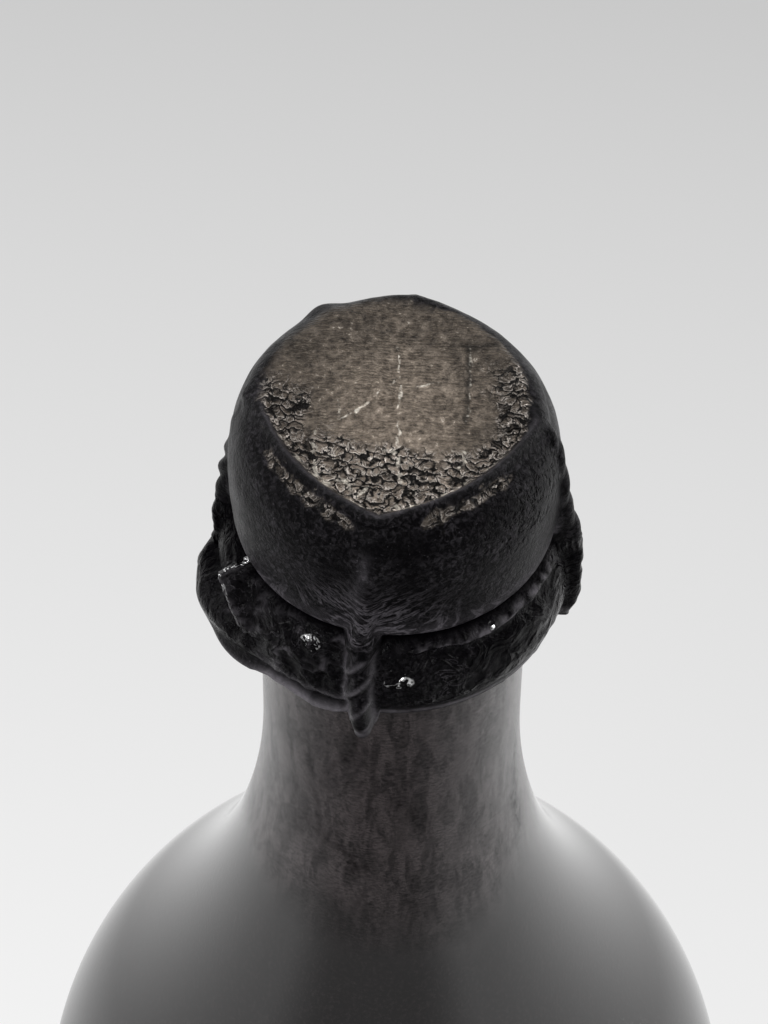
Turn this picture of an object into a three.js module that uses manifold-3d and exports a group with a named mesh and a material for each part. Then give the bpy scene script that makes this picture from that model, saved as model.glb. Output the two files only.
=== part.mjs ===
// A sealed champagne bottle: glass, cork, wire cage and foil capsule, each piece a solid of its own.
// Millimetres, +Z up. The origin is on the standing surface, under the bottle's axis.
// Angles are counted from the front (-Y), where one leg of the cage stands, and grow towards +X.
import * as THREE from "three";
import { mergeVertices } from "three/addons/utils/BufferGeometryUtils.js";
import Module from "manifold-3d";

const wasm = await Module();
wasm.setup();

// Glass bottle
const bottleHeight = 300;
const bodyRadius = 44.4;
const bodyWall = 4.4;
const neckRadius = 14.65;
const neckLength = 25.4; // straight stretch between the finish ring and the shoulder's sweep
const shoulderHeight = 95.4;
const shoulderSweepShare = 0.653; // the share of that height in the hollow sweep below the neck
const heelRadius = 8;
const puntRadius = 31;
const puntDepth = 28;
const baseWall = 6;
const boreRadius = 9;
const boreLength = 42;
const lipRadius = 14.2;
const lipHeight = 4.6;
const lipRound = 1.5;
const finishGroove = 0.8;
const ringRadius = 17.6; // the finish ring, under which the cage is tied
const ringHeight = 4.3;
const ringDrop = 5.7; // from the lip down to the top of the finish ring
const ringRound = 1.3;

// Cork
const corkInsert = 25;
const corkDiscThickness = 6;
const corkHeadHeight = 14.9;
const corkHeadOverhang = 2.3; // from the metal cap's rim out to the head's belly
const corkHeadTaper = 1.1; // from the belly in to the head's foot
const corkBelly = 0.66; // the share of the head's height at which it is widest
const corkFit = 0.3;
const glueLine = 0.1;

// Metal cap on the cork
const capRadius = 14.2;
const capSheet = 0.5;
const capDome = 1.2;
const capRimDepth = 1.8;

// Wire cage
const legCount = 4;
const strandRadius = 0.45;
const strandSink = 0.04; // how far the two strands of a leg bite into each other
const legTurns = 4;
const legBite = 0.5; // how far a leg's centre line lies inside the cork head's belly
const crownBow = 1.2; // how far the crown wire bows inside the cap's rim between the legs
const crownCornerStep = 0.5; // and stands this far outside the cap at each leg
const wireGap = 0.3;
const beltStrandRadius = 0.5;
const beltRadius = 16.75;
const beltDrop = 2; // from the finish ring's underside to the belt
const eyeLength = 1.75;
const eyeHeight = 1.25;
const eyeReach = 0.6; // from the belt out to the middle of an eye

// Pull loop, twisted from the belt's ends and folded up against the finish ring
const loopAngle = THREE.MathUtils.degToRad(-63);
const loopTwistLength = 5.3;
const loopTurns = 1.5;
const loopWidth = 5;
const loopLength = 5.6;

// Foil capsule
const foilThickness = 0.4;
const foilGap = 0.25;
const foilSlack = 0.4; // further play over the cork head's belly
const foilSeam = 0.3;
const discOverhang = 0.9; // from the metal cap's rim out to the disc's edge
const collarPlay = 0.95; // from the finish ring out to the foil
const hemPlay = 0.4;
const hemDrop = 2.8; // from the finish ring's underside down to the hem
const hemLegDip = 1.1; // the hem reaches lower at the legs
const ridgePlateau = 0.7;
const ridgeSpread = 2.1;
const flapHalfAngle = THREE.MathUtils.degToRad(16);
const flapRise = 4.0; // from the loop's tip up to the flap's top edge
const loopRidgeSpread = 1.7;

// Facets
const roundSides = 40;
const longArcSteps = 6;
const shortArcSteps = 2;
const longArc = 20; // a curve in a profile counts as long from this length
const strandSides = 6;
const fusedDetail = 0.01; // smaller facets are merged where wires are fused

// Places worked out from the sizes above
const corkHeadRadius = capRadius + corkHeadOverhang;
const corkHeadFoot = corkHeadRadius - corkHeadTaper;
const crownSideRadius = capRadius - crownBow;
const discRadius = capRadius + discOverhang;
const lipZ = bottleHeight;
const ringTop = lipZ - ringDrop;
const ringBottom = ringTop - ringHeight;
const shoulderTop = ringBottom - neckLength;
const shoulderBottom = shoulderTop - shoulderHeight;
const headFootZ = lipZ + corkFit;
const headTopZ = headFootZ + corkHeadHeight;
const headBellyZ = headFootZ + corkBelly * corkHeadHeight;
const capSeatZ = headTopZ - capRimDepth;
const discEdgeZ = headTopZ + corkFit + capSheet + foilGap + foilThickness / 2;
const pairRadius = 2 * strandRadius - strandSink;
const crownCornerRadius = capRadius + crownCornerStep;
const beltZ = ringBottom - beltDrop;
const eyeRadius = beltRadius + eyeReach;
const legFootRadius = ringRadius + wireGap + pairRadius;
const loopRadius = ringRadius + wireGap + pairRadius + corkFit / 2;
const loopFootZ = beltZ - 0.1;
const loopTwistTop = loopFootZ + loopTwistLength;
const loopTipZ = loopTwistTop + loopLength + strandRadius;
const hemZ = ringBottom - hemDrop;
const flapTopZ = loopTipZ + flapRise / 2;
const legAngles = Array.from({ length: legCount }, (_, i) => (i * 2 * Math.PI) / legCount);

function point(radius, angle, z) {
  return new THREE.Vector3(radius * Math.sin(angle), -radius * Math.cos(angle), z);
}

function smooth(x) {
  const t = THREE.MathUtils.clamp(x, 0, 1);
  return t * t * (3 - 2 * t);
}

// A closed mesh as a solid that can be joined and cut.
function solid(geometry) {
  const bare = geometry.clone();
  for (const name of Object.keys(bare.attributes)) {
    if (name !== "position") bare.deleteAttribute(name);
  }
  const merged = mergeVertices(bare, 1e-4);
  return new wasm.Manifold(
    new wasm.Mesh({
      numProp: 3,
      vertProperties: merged.attributes.position.array,
      triVerts: new Uint32Array(merged.index.array),
    }),
  );
}

function geometryOf(body) {
  const mesh = body.getMesh();
  const geometry = new THREE.BufferGeometry();
  geometry.setAttribute("position", new THREE.BufferAttribute(mesh.vertProperties, 3));
  geometry.setIndex(new THREE.BufferAttribute(mesh.triVerts, 1));
  geometry.computeVertexNormals();
  return geometry;
}

// Pieces fused into one body; the pinholes that are shut in between fused wires are filled.
function join(geometries) {
  const whole = geometries.map(solid).reduce((sum, next) => sum.add(next));
  const bodies = whole.asOriginal().simplify(fusedDetail).decompose();
  return bodies.reduce((largest, next) => (next.volume() > largest.volume() ? next : largest));
}

// A profile of radius and height turned about the bottle's axis.
function turned(profile) {
  return new THREE.LatheGeometry(profile, roundSides).rotateX(Math.PI / 2);
}

// The corners of a drawn path, with a few facets along each of its curves.
function facets(path) {
  const corners = [path.curves[0].getPoint(0)];
  for (const curve of path.curves) {
    const arcSteps = curve.getLength() > longArc ? longArcSteps : shortArcSteps;
    const steps = curve.isLineCurve ? 1 : arcSteps;
    for (let i = 1; i <= steps; i += 1) {
      const corner = curve.getPoint(i / steps);
      if (corner.distanceTo(corners[corners.length - 1]) > 1e-3) corners.push(corner);
    }
  }
  return corners;
}

// A wire of round section along a curve.
function wire(curve, radius, steps) {
  const section = new THREE.Shape(
    Array.from({ length: strandSides }, (_, i) => {
      const angle = (i * 2 * Math.PI) / strandSides;
      return new THREE.Vector2(radius * Math.cos(angle), radius * Math.sin(angle));
    }),
  );
  return new THREE.ExtrudeGeometry(section, { steps, extrudePath: curve });
}

class FormulaCurve extends THREE.Curve {
  constructor(formula) {
    super();
    this.formula = formula;
  }
  getPoint(t, target = new THREE.Vector3()) {
    return target.copy(this.formula(t));
  }
}

// Two arcs that meet on a tangent and lead from a narrow neck to a wide body.
function shoulderArcs(narrow, wide) {
  const bend = 2 * Math.atan((wide - narrow) / shoulderHeight);
  const both = shoulderHeight / Math.sin(bend);
  const sweep = both * shoulderSweepShare;
  const round = both - sweep;
  return {
    climb: (path) => {
      path.absarc(wide - round, shoulderBottom, round, 0, bend, false);
      path.absarc(narrow + sweep, shoulderTop, sweep, Math.PI + bend, Math.PI, true);
    },
    descend: (path) => {
      path.absarc(narrow + sweep, shoulderTop, sweep, Math.PI, Math.PI + bend, false);
      path.absarc(wide - round, shoulderBottom, round, bend, 0, true);
    },
  };
}

// The glass: punt, heel, body, shoulder, neck, finish ring and lip outside, then the bore and the cavity.
function glassBottle() {
  const insideRadius = bodyRadius - bodyWall;
  const insideCorner = heelRadius + bodyWall / 2;
  const path = new THREE.Path();
  path.moveTo(0, puntDepth);
  path.bezierCurveTo(0.45 * puntRadius, puntDepth, 0.8 * puntRadius, 0.4 * puntDepth, puntRadius, 0);
  path.lineTo(bodyRadius - heelRadius, 0);
  path.absarc(bodyRadius - heelRadius, heelRadius, heelRadius, -Math.PI / 2, 0, false);
  path.lineTo(bodyRadius, shoulderBottom);
  shoulderArcs(neckRadius, bodyRadius).climb(path);
  path.lineTo(neckRadius, ringBottom);
  path.lineTo(ringRadius - ringRound, ringBottom);
  path.absarc(ringRadius - ringRound, ringBottom + ringRound, ringRound, -Math.PI / 2, 0, false);
  path.lineTo(ringRadius, ringTop - ringRound);
  path.absarc(ringRadius - ringRound, ringTop - ringRound, ringRound, 0, Math.PI / 2, false);
  path.lineTo(lipRadius - finishGroove, ringTop);
  path.lineTo(lipRadius - finishGroove, lipZ - lipHeight);
  path.lineTo(lipRadius, lipZ - lipHeight + finishGroove);
  path.lineTo(lipRadius, lipZ - lipRound);
  path.absarc(lipRadius - lipRound, lipZ - lipRound, lipRound, 0, Math.PI / 2, false);
  path.lineTo(boreRadius + lipRound, lipZ);
  path.absarc(boreRadius + lipRound, lipZ - lipRound, lipRound, Math.PI / 2, Math.PI, false);
  path.lineTo(boreRadius, Math.max(lipZ - boreLength, shoulderTop));
  shoulderArcs(boreRadius, insideRadius).descend(path);
  path.lineTo(insideRadius, baseWall + insideCorner);
  path.absarc(insideRadius - insideCorner, baseWall + insideCorner, insideCorner, 0, -Math.PI / 2, true);
  path.bezierCurveTo(
    0.8 * puntRadius,
    baseWall,
    0.55 * puntRadius,
    puntDepth + baseWall,
    0,
    puntDepth + baseWall,
  );
  return turned(facets(path));
}

// Radius of the cork's mushroom head: a bowed flank up to the belly, then a round shoulder to the cap's seat.
function headRadius(z) {
  if (z < headBellyZ) {
    const below = (headBellyZ - z) / (headBellyZ - headFootZ);
    return corkHeadRadius - (corkHeadRadius - corkHeadFoot) * below * below;
  }
  const above = Math.min((z - headBellyZ) / (capSeatZ - headBellyZ), 1);
  return capRadius + (corkHeadRadius - capRadius) * Math.sqrt(1 - above ** 2.6);
}

// The agglomerate cork: a shank in the bore and the head above it, dented by the legs of the cage.
function corkBody() {
  const shankRadius = boreRadius - corkFit;
  const crownSeatRadius = capRadius - capSheet - corkFit;
  const shankBottom = lipZ - corkInsert + 2 * (corkDiscThickness + glueLine);
  const profile = [
    new THREE.Vector2(0, shankBottom),
    new THREE.Vector2(shankRadius, shankBottom),
    new THREE.Vector2(shankRadius, headFootZ),
  ];
  const flankSteps = 6;
  for (let i = 0; i <= flankSteps; i += 1) {
    const z = THREE.MathUtils.lerp(headFootZ, headBellyZ, i / flankSteps);
    profile.push(new THREE.Vector2(headRadius(z), z));
  }
  const crownSteps = 5;
  for (let i = 1; i <= crownSteps; i += 1) {
    const rise = Math.sin(((i / crownSteps) * Math.PI) / 2);
    const z = THREE.MathUtils.lerp(headBellyZ, capSeatZ, rise);
    profile.push(new THREE.Vector2(headRadius(z), z));
  }
  profile.push(new THREE.Vector2(crownSeatRadius, capSeatZ));
  profile.push(new THREE.Vector2(crownSeatRadius, headTopZ));
  profile.push(new THREE.Vector2(0, headTopZ));
  let body = solid(turned(profile));
  const dentSteps = 10;
  for (const angle of legAngles) {
    const dent = new FormulaCurve((t) => {
      const place = legPoint(t);
      return point(place.x, angle, place.y);
    });
    body = body.subtract(solid(wire(dent, pairRadius + wireGap, dentSteps)));
  }
  return geometryOf(body);
}

function corkDisc(bottom) {
  const radius = boreRadius - corkFit;
  return turned([
    new THREE.Vector2(0, bottom),
    new THREE.Vector2(radius, bottom),
    new THREE.Vector2(radius, bottom + corkDiscThickness),
    new THREE.Vector2(0, bottom + corkDiscThickness),
  ]);
}

// Height of the cap's top face: a low dome whose edge turns down over the cork.
function capTop(radius) {
  const share = radius / capRadius;
  return headTopZ + corkFit + capSheet + capDome * (1 - share * share);
}

function metalCap() {
  const rimBottom = headTopZ + corkFit - capRimDepth;
  const steps = 5;
  const top = [];
  const under = [];
  for (let i = 0; i <= steps; i += 1) {
    const radius = (capRadius * i) / steps;
    const inner = ((capRadius - capSheet) * i) / steps;
    top.push(new THREE.Vector2(radius, capTop(radius)));
    under.push(new THREE.Vector2(inner, capTop(inner) - capSheet));
  }
  const profile = [...under];
  profile.push(new THREE.Vector2(capRadius - capSheet, rimBottom));
  profile.push(new THREE.Vector2(capRadius, rimBottom));
  profile.push(...top.reverse());
  return turned(profile);
}

// The crown wire bows in between the legs and comes out to a corner at each of them.
function crownRadius(angle) {
  const corner = Math.abs(Math.cos((angle * legCount) / 2)) ** 1.6;
  return THREE.MathUtils.lerp(crownSideRadius, crownCornerRadius, corner);
}

function crownZ(angle) {
  return capTop(Math.min(crownRadius(angle), capRadius)) + wireGap / 2 + strandRadius;
}

// Centre line of a leg as radius and height: over the cap's edge, down the cork head, past the finish ring.
const legLine = new THREE.CatmullRomCurve3(
  [
    [crownCornerRadius, crownZ(0)],
    [capRadius + wireGap + pairRadius, headTopZ - pairRadius / 2],
    [corkHeadRadius - legBite, headBellyZ],
    [(corkHeadRadius - legBite + legFootRadius) / 2 + strandRadius, (headBellyZ + ringTop) / 2],
    [legFootRadius, ringTop],
    [legFootRadius, ringBottom],
    [eyeRadius + eyeLength - strandRadius, beltZ + strandRadius],
  ].map(([radius, z]) => new THREE.Vector3(radius, z, 0)),
);

function legPoint(t) {
  return legLine.getPointAt(t);
}

// Section through two strands laid side by side, as steps along the line of their centres and across it.
function pairSection() {
  const lobe = [-1.9, -1, 0, 1, 1.9];
  const apart = strandRadius - strandSink;
  return [0, Math.PI].flatMap((half) =>
    lobe.map((angle) => {
      const side = half === 0 ? apart : -apart;
      return [side + strandRadius * Math.cos(half + angle), strandRadius * Math.sin(half + angle)];
    }),
  );
}

// Two strands twisted about a centre line, closed at both ends. The line gives a place and two directions across.
function twistedPair(line, turns) {
  const steps = Math.round(turns * 8);
  const section = pairSection().reverse();
  const rows = [];
  for (let i = 0; i <= steps; i += 1) {
    const { place, first, second } = line(i / steps);
    const turn = (i / steps) * turns * 2 * Math.PI;
    const [c, s] = [Math.cos(turn), Math.sin(turn)];
    rows.push(
      section.map(([u, v]) =>
        place
          .clone()
          .addScaledVector(first, u * c - v * s)
          .addScaledVector(second, u * s + v * c),
      ),
    );
  }
  const cap = (end) => section.map(() => line(end).place.clone());
  return shell([cap(0), ...rows, cap(1)]);
}

function legPair(angle) {
  const sideways = new THREE.Vector3(Math.cos(angle), Math.sin(angle), 0);
  return twistedPair((t) => {
    const place = legPoint(t);
    const along = legLine.getTangentAt(t);
    return { place: point(place.x, angle, place.y), first: sideways, second: point(-along.y, angle, along.x) };
  }, legTurns);
}

// The eye at a leg's foot stands across the belt, which runs through it.
function legEye(angle, half) {
  return new FormulaCurve((t) => {
    const turn = Math.PI * (half + 1.06 * t - 0.03);
    return point(eyeRadius + eyeLength * Math.cos(turn), angle, beltZ + eyeHeight * Math.sin(turn));
  });
}

// One bent wire: four crown arcs, and at each corner a leg of two twisted strands that ends in an eye.
function cageWire() {
  const parts = [];
  const arcCount = 9;
  const eyeSteps = 6;
  for (const angle of legAngles) {
    const next = (2 * Math.PI) / legCount;
    parts.push(
      wire(
        new FormulaCurve((t) => {
          const turn = angle + (1.06 * t - 0.03) * next;
          return point(crownRadius(turn), turn, crownZ(turn));
        }),
        strandRadius,
        arcCount,
      ),
    );
    parts.push(legPair(angle));
    for (const half of [0, 1]) parts.push(wire(legEye(angle, half), strandRadius, eyeSteps));
  }
  return geometryOf(join(parts));
}

// The belt: once round the neck under the finish ring, with both ends turned out to the pull loop.
function beltWire() {
  const stubReach = loopRadius - pairRadius - wireGap;
  const halfGap = (beltStrandRadius + wireGap / 2) / beltRadius;
  const stubShare = 0.03;
  const curve = new FormulaCurve((t) => {
    const fromEnd = Math.min(t, 1 - t) / stubShare;
    const out = 1 - smooth(fromEnd);
    const span = 2 * Math.PI - 2 * halfGap;
    const angle = loopAngle + halfGap + span * t;
    return point(THREE.MathUtils.lerp(beltRadius, stubReach, out), angle, beltZ);
  });
  return wire(curve, beltStrandRadius, 72);
}

// The pull loop: the belt's two ends twisted together, then opened into a ring for the finger.
function pullLoop() {
  const along = new THREE.Vector3(Math.cos(loopAngle), Math.sin(loopAngle), 0);
  const out = point(1, loopAngle, 0);
  const place = (side, z) =>
    new THREE.Vector3(0, 0, z).addScaledVector(along, side).addScaledVector(out, loopRadius);
  const twist = twistedPair((t) => {
    const z = loopFootZ + t * (loopTwistLength + strandRadius);
    return { place: place(0, z), first: along, second: out.clone().negate() };
  }, loopTurns);
  const parts = [twist];
  for (const half of [0, 1]) {
    parts.push(
      wire(
        new FormulaCurve((t) => {
          const turn = Math.PI * (half + 1.04 * t - 0.02);
          const side = ((loopWidth - 2 * strandRadius) / 2) * Math.cos(turn);
          return place(side, loopTwistTop + (loopLength / 2) * (1 + Math.sin(turn)));
        }),
        strandRadius,
        10,
      ),
    );
  }
  return geometryOf(join(parts));
}

// Rows of points round the axis, closed in both directions, as one mesh. A row at the axis closes to a point.
function shell(rows) {
  const positions = [];
  const corner = (i, j) => rows[i % rows.length][j % rows[0].length];
  for (let i = 0; i < rows.length; i += 1) {
    for (let j = 0; j < rows[0].length; j += 1) {
      const [a, b, c, d] = [corner(i, j), corner(i, j + 1), corner(i + 1, j + 1), corner(i + 1, j)];
      for (const triangle of [[a, c, b], [a, d, c]]) {
        const [p, q, r] = triangle;
        if (p.distanceTo(q) < 1e-6 || q.distanceTo(r) < 1e-6 || r.distanceTo(p) < 1e-6) continue;
        for (const vertex of triangle) positions.push(vertex.x, vertex.y, vertex.z);
      }
    }
  }
  const geometry = new THREE.BufferGeometry();
  geometry.setAttribute("position", new THREE.Float32BufferAttribute(positions, 3));
  return geometry;
}

// Angles round the capsule: close together over the legs and the loop, wider between them.
function foilAngles() {
  const legSteps = [-2.8, -1.9, -1.1, 0, 1.1, 1.9, 2.8].map((step) => step / corkHeadRadius);
  const loopEdge = loopWidth / 2 + foilGap;
  const loopSides = [loopEdge / 2, loopEdge, loopEdge + loopRidgeSpread / 2, loopEdge + loopRidgeSpread];
  const loopSteps = [0, ...loopSides, ...loopSides.map((step) => -step)].map((step) => step / corkHeadRadius);
  const placed = [
    ...legAngles.flatMap((leg) => legSteps.map((step) => leg + step)),
    ...loopSteps.map((step) => loopAngle + step),
  ].map((angle) => THREE.MathUtils.euclideanModulo(angle, 2 * Math.PI));
  placed.sort((a, b) => a - b);
  const widest = THREE.MathUtils.degToRad(12);
  return placed.flatMap((angle, i) => {
    const next = i + 1 < placed.length ? placed[i + 1] : placed[0] + 2 * Math.PI;
    const count = Math.ceil((next - angle) / widest);
    return Array.from({ length: count }, (_, k) => THREE.MathUtils.lerp(angle, next, k / count));
  });
}

// Signed distance in millimetres round the axis between two angles at a radius.
function across(angle, centre, radius) {
  const turn = Math.atan2(Math.sin(angle - centre), Math.cos(angle - centre));
  return turn * radius;
}

// Height of a ridge at a distance from its centre line: flat on top, then a smooth fall.
function ridge(distance, plateau, spread) {
  return 1 - smooth((Math.abs(distance) - plateau) / spread);
}

// The foil between the legs, inside face, as radius and height from the disc's seam down to the hem.
function foilProfile() {
  const creaseZ = lipZ - lipRound / 2;
  const crease = corkHeadRadius + foilGap;
  const belly = crease + foilSlack;
  const collarRadius = ringRadius + collarPlay;
  const seamRadius = discRadius + foilSeam;
  const shoulder = [0, 0.25, 0.5, 0.75, 1].map((share) => {
    const turn = (share * Math.PI) / 2;
    const radius = THREE.MathUtils.lerp(seamRadius, belly, Math.sin(turn));
    return [radius, THREE.MathUtils.lerp(headBellyZ, discEdgeZ, Math.cos(turn))];
  });
  const flank = [0.3, 0.6, 0.85].map((share) => {
    const z = THREE.MathUtils.lerp(headBellyZ, lipZ + lipRound / 2, share);
    return [THREE.MathUtils.lerp(belly, crease, smooth(share)), z];
  });
  return [
    ...shoulder,
    ...flank,
    [crease, lipZ + lipRound / 2],
    [crease, creaseZ],
    [THREE.MathUtils.lerp(crease, collarRadius, 0.3), THREE.MathUtils.lerp(creaseZ, ringTop, 0.3)],
    [THREE.MathUtils.lerp(crease, collarRadius, 0.75), THREE.MathUtils.lerp(creaseZ, ringTop, 0.7)],
    [collarRadius, ringTop],
    [collarRadius, ringBottom + ringRound],
    [ringRadius + hemPlay + foilGap, ringBottom - beltStrandRadius],
    [ringRadius + hemPlay, hemZ],
  ].map(([radius, z]) => new THREE.Vector2(radius, z));
}

// How far the foil stands off its profile at a point, so that it clears the legs of the cage.
function legLift(place, normal) {
  let nearest = Infinity;
  let lift = 0;
  const samples = 120;
  for (let i = 0; i <= samples; i += 1) {
    const leg = legPoint(i / samples);
    const away = new THREE.Vector2(leg.x - place.x, leg.y - place.y);
    const miss = Math.abs(away.cross(normal));
    if (miss < nearest) {
      nearest = miss;
      lift = away.dot(normal);
    }
  }
  return Math.max(0, lift + pairRadius + foilGap);
}

function loopLift(place) {
  const clear = loopRadius + pairRadius + foilGap - place.x;
  return Math.max(0, clear) * (1 - smooth((place.y - loopTipZ - foilGap) / flapRise));
}

// The whole skirt before the flap is cut from it.
function foilSkirt() {
  const profile = foilProfile();
  const angles = foilAngles();
  const normals = profile.map((_, i) => {
    const before = profile[Math.max(i - 1, 0)];
    const after = profile[Math.min(i + 1, profile.length - 1)];
    return new THREE.Vector2(before.y - after.y, after.x - before.x).normalize();
  });
  const loopHalf = loopWidth / 2 + foilGap;
  const face = (depth) =>
    profile.map((place, i) => {
      const normal = normals[i];
      const lift = legLift(place, normal);
      const isHem = i === profile.length - 1;
      return angles.map((angle) => {
        const nearLeg = Math.max(
          ...legAngles.map((leg) => ridge(across(angle, leg, place.x), ridgePlateau, ridgeSpread)),
        );
        const nearLoop = ridge(across(angle, loopAngle, place.x), loopHalf, loopRidgeSpread);
        const stand = depth + lift * nearLeg;
        const radius = place.x + normal.x * stand + loopLift(place) * nearLoop;
        const z = place.y + normal.y * stand - (isHem ? hemLegDip * nearLeg : 0);
        return point(radius, angle, z);
      });
    });
  return solid(shell([...face(foilThickness), ...face(0).reverse()]));
}

// A wedge about the loop, from below the hem up to a height.
function flapWedge(halfAngle, top) {
  const inner = neckRadius;
  const outer = bodyRadius;
  const bottom = hemZ - ringHeight;
  const corners = [
    [inner, -halfAngle],
    [outer, -halfAngle],
    [outer, halfAngle],
    [inner, halfAngle],
  ].map(([radius, turn]) => point(radius, loopAngle + turn, 0));
  const shape = new THREE.Shape(corners.map((corner) => new THREE.Vector2(corner.x, corner.y)));
  const wedge = new THREE.ExtrudeGeometry(shape, { depth: top - bottom, bevelEnabled: false });
  return solid(wedge.translate(0, 0, bottom));
}

// The disc that closes the capsule: it lies on the metal cap and is raised over the crown wire.
function capsuleDisc() {
  const shares = [0, 0.35, 0.65, 0.76, 0.82, 0.88, 0.94, 1];
  const angles = foilAngles();
  const top = (depth) =>
    shares.map((share) =>
      angles.map((angle) => {
        const radius = share * discRadius;
        const flat = capTop(Math.min(radius, capRadius)) + foilGap;
        const raised = crownZ(angle) + strandRadius + foilGap;
        const near = ridge(radius - crownRadius(angle), ridgePlateau, ridgeSpread / 1.5);
        return point(radius, angle, Math.max(flat, THREE.MathUtils.lerp(flat, raised, near)) + depth);
      }),
    );
  return shell([...top(foilThickness), ...top(0).reverse()]);
}

const finishes = {
  glass: { color: 0x0d100d, roughness: 0.12, metalness: 0 },
  cork: { color: 0xb98d5c, roughness: 0.9, metalness: 0 },
  naturalCork: { color: 0xc79f6e, roughness: 0.85, metalness: 0 },
  tinplate: { color: 0x7d7460, roughness: 0.4, metalness: 0.9 },
  wire: { color: 0x8a8781, roughness: 0.35, metalness: 1 },
  blackFoil: { color: 0x1a1a1c, roughness: 0.45, metalness: 0.2 },
  bronzeFoil: { color: 0x6b5f4c, roughness: 0.5, metalness: 0.6 },
};

const bottle = new THREE.Group();

function add(name, geometry, finish) {
  const mesh = new THREE.Mesh(geometry, new THREE.MeshStandardMaterial(finishes[finish]));
  mesh.name = name;
  bottle.add(mesh);
}

const lowerDiscZ = lipZ - corkInsert;
const skirt = foilSkirt();
const seamAngle = foilSeam / ringRadius;

add("glass_bottle", glassBottle(), "glass");
add("cork_body", corkBody(), "cork");
add("cork_disc_upper", corkDisc(lowerDiscZ + corkDiscThickness + glueLine), "naturalCork");
add("cork_disc_lower", corkDisc(lowerDiscZ), "naturalCork");
add("metal_cap", metalCap(), "tinplate");
add("cage_wire", cageWire(), "wire");
add("belt_wire", beltWire(), "wire");
add("pull_loop", pullLoop(), "wire");
add("capsule_disc", capsuleDisc(), "bronzeFoil");
add(
  "capsule_skirt",
  geometryOf(skirt.subtract(flapWedge(flapHalfAngle + seamAngle, flapTopZ + foilSeam))),
  "blackFoil",
);
add("foil_flap", geometryOf(skirt.intersect(flapWedge(flapHalfAngle, flapTopZ))), "blackFoil");

export default bottle;
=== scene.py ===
"""Looks of the sealed champagne bottle: glass, cork, wire cage and foil capsule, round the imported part."""

import functools
import math

import bpy
import numpy as np
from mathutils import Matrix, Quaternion, Vector, noise


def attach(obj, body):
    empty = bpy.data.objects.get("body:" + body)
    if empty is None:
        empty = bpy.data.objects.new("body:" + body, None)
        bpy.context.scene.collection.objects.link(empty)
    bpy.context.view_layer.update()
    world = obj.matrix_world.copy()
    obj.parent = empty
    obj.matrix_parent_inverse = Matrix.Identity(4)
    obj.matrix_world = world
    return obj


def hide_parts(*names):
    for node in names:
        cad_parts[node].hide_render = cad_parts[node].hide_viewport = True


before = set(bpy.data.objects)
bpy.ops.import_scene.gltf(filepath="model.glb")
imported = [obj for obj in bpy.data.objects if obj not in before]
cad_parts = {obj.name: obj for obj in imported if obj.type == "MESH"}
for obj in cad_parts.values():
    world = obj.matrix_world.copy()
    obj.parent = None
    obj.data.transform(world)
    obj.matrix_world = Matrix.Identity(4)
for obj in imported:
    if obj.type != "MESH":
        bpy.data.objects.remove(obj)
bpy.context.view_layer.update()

MM = 0.001

# Sizes shared with the solids, in millimetres
LIP_Z = 300.0
BODY_RADIUS = 44.4
BODY_WALL = 4.4
NECK_RADIUS = 14.65
SHOULDER_TOP = 264.6
SHOULDER_HEIGHT = 95.4
SWEEP_SHARE = 0.653
HEEL_RADIUS = 8.0
PUNT_RADIUS = 31.0
PUNT_DEPTH = 28.0
BASE_WALL = 6.0
BORE_RADIUS = 9.0
RING_RADIUS = 17.6
RING_TOP = 294.3
RING_BOTTOM = 290.0
LOOP_ANGLE = -63.0
FLAP_HALF_ANGLE = 16.2
FLAP_TOP = 301.3
FILM_THICKNESS = 0.3
CAP_TOP = 317.2
CORK_TOP = 315.2
CORK_BELLY = 16.5
CORK_BELLY_RISE = 9.83
CORK_SEAT_RISE = 13.1

# Camera, found from the outline of neck, shoulder and capsule in the photograph
AIM_Z = 299.2
CAMERA_DISTANCE = 434.5
CAMERA_ELEVATION = 52.3
CAMERA_AZIMUTH = 7.0
CAMERA_ROLL = -0.75
CAMERA_SIDESTEP = -1.17
CAMERA_LENS = 142.4


def linear(code):
    """Linear colour of an sRGB hex code."""
    parts = [int(code[i : i + 2], 16) / 255 for i in (1, 3, 5)]
    return tuple(c / 12.92 if c <= 0.04045 else ((c + 0.055) / 1.055) ** 2.4 for c in parts) + (1.0,)


def per_metre(size):
    """How many times a size in millimetres goes into a metre, which is a texture's scale."""
    return 1.0 / (size * MM)


def node(tree, kind, inputs=(), out=0, **settings):
    """Adds a shader node, sets its properties, fills its inputs by order or by name with values or links,
    and gives one of its outputs."""
    made = tree.nodes.new("ShaderNode" + kind)
    for name, value in settings.items():
        setattr(made, name, value)
    for name, value in inputs.items() if isinstance(inputs, dict) else enumerate(inputs):
        if isinstance(value, bpy.types.NodeSocket):
            tree.links.new(value, made.inputs[name])
        else:
            made.inputs[name].default_value = value
    return made.outputs[out] if made.outputs else None


def new_material(name):
    """A material without nodes, the function that adds nodes to it, and its object coordinates."""
    material = bpy.data.materials.new(name)
    material.use_nodes = True
    material.node_tree.nodes.clear()
    add = functools.partial(node, material.node_tree)
    return material, add, add("TexCoord", out="Object")


def deselect():
    if bpy.context.object and bpy.context.object.mode != "OBJECT":
        bpy.ops.object.mode_set(mode="OBJECT")
    bpy.ops.object.select_all(action="DESELECT")


def only(obj):
    deselect()
    obj.select_set(True)
    bpy.context.view_layer.objects.active = obj


def apply_modifier(obj, kind, **settings):
    """Adds a modifier with these settings and applies it."""
    only(obj)
    modifier = obj.modifiers.new(kind.lower(), kind)
    for name, value in settings.items():
        setattr(modifier, name, value)
    bpy.ops.object.modifier_apply(modifier=modifier.name)


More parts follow.
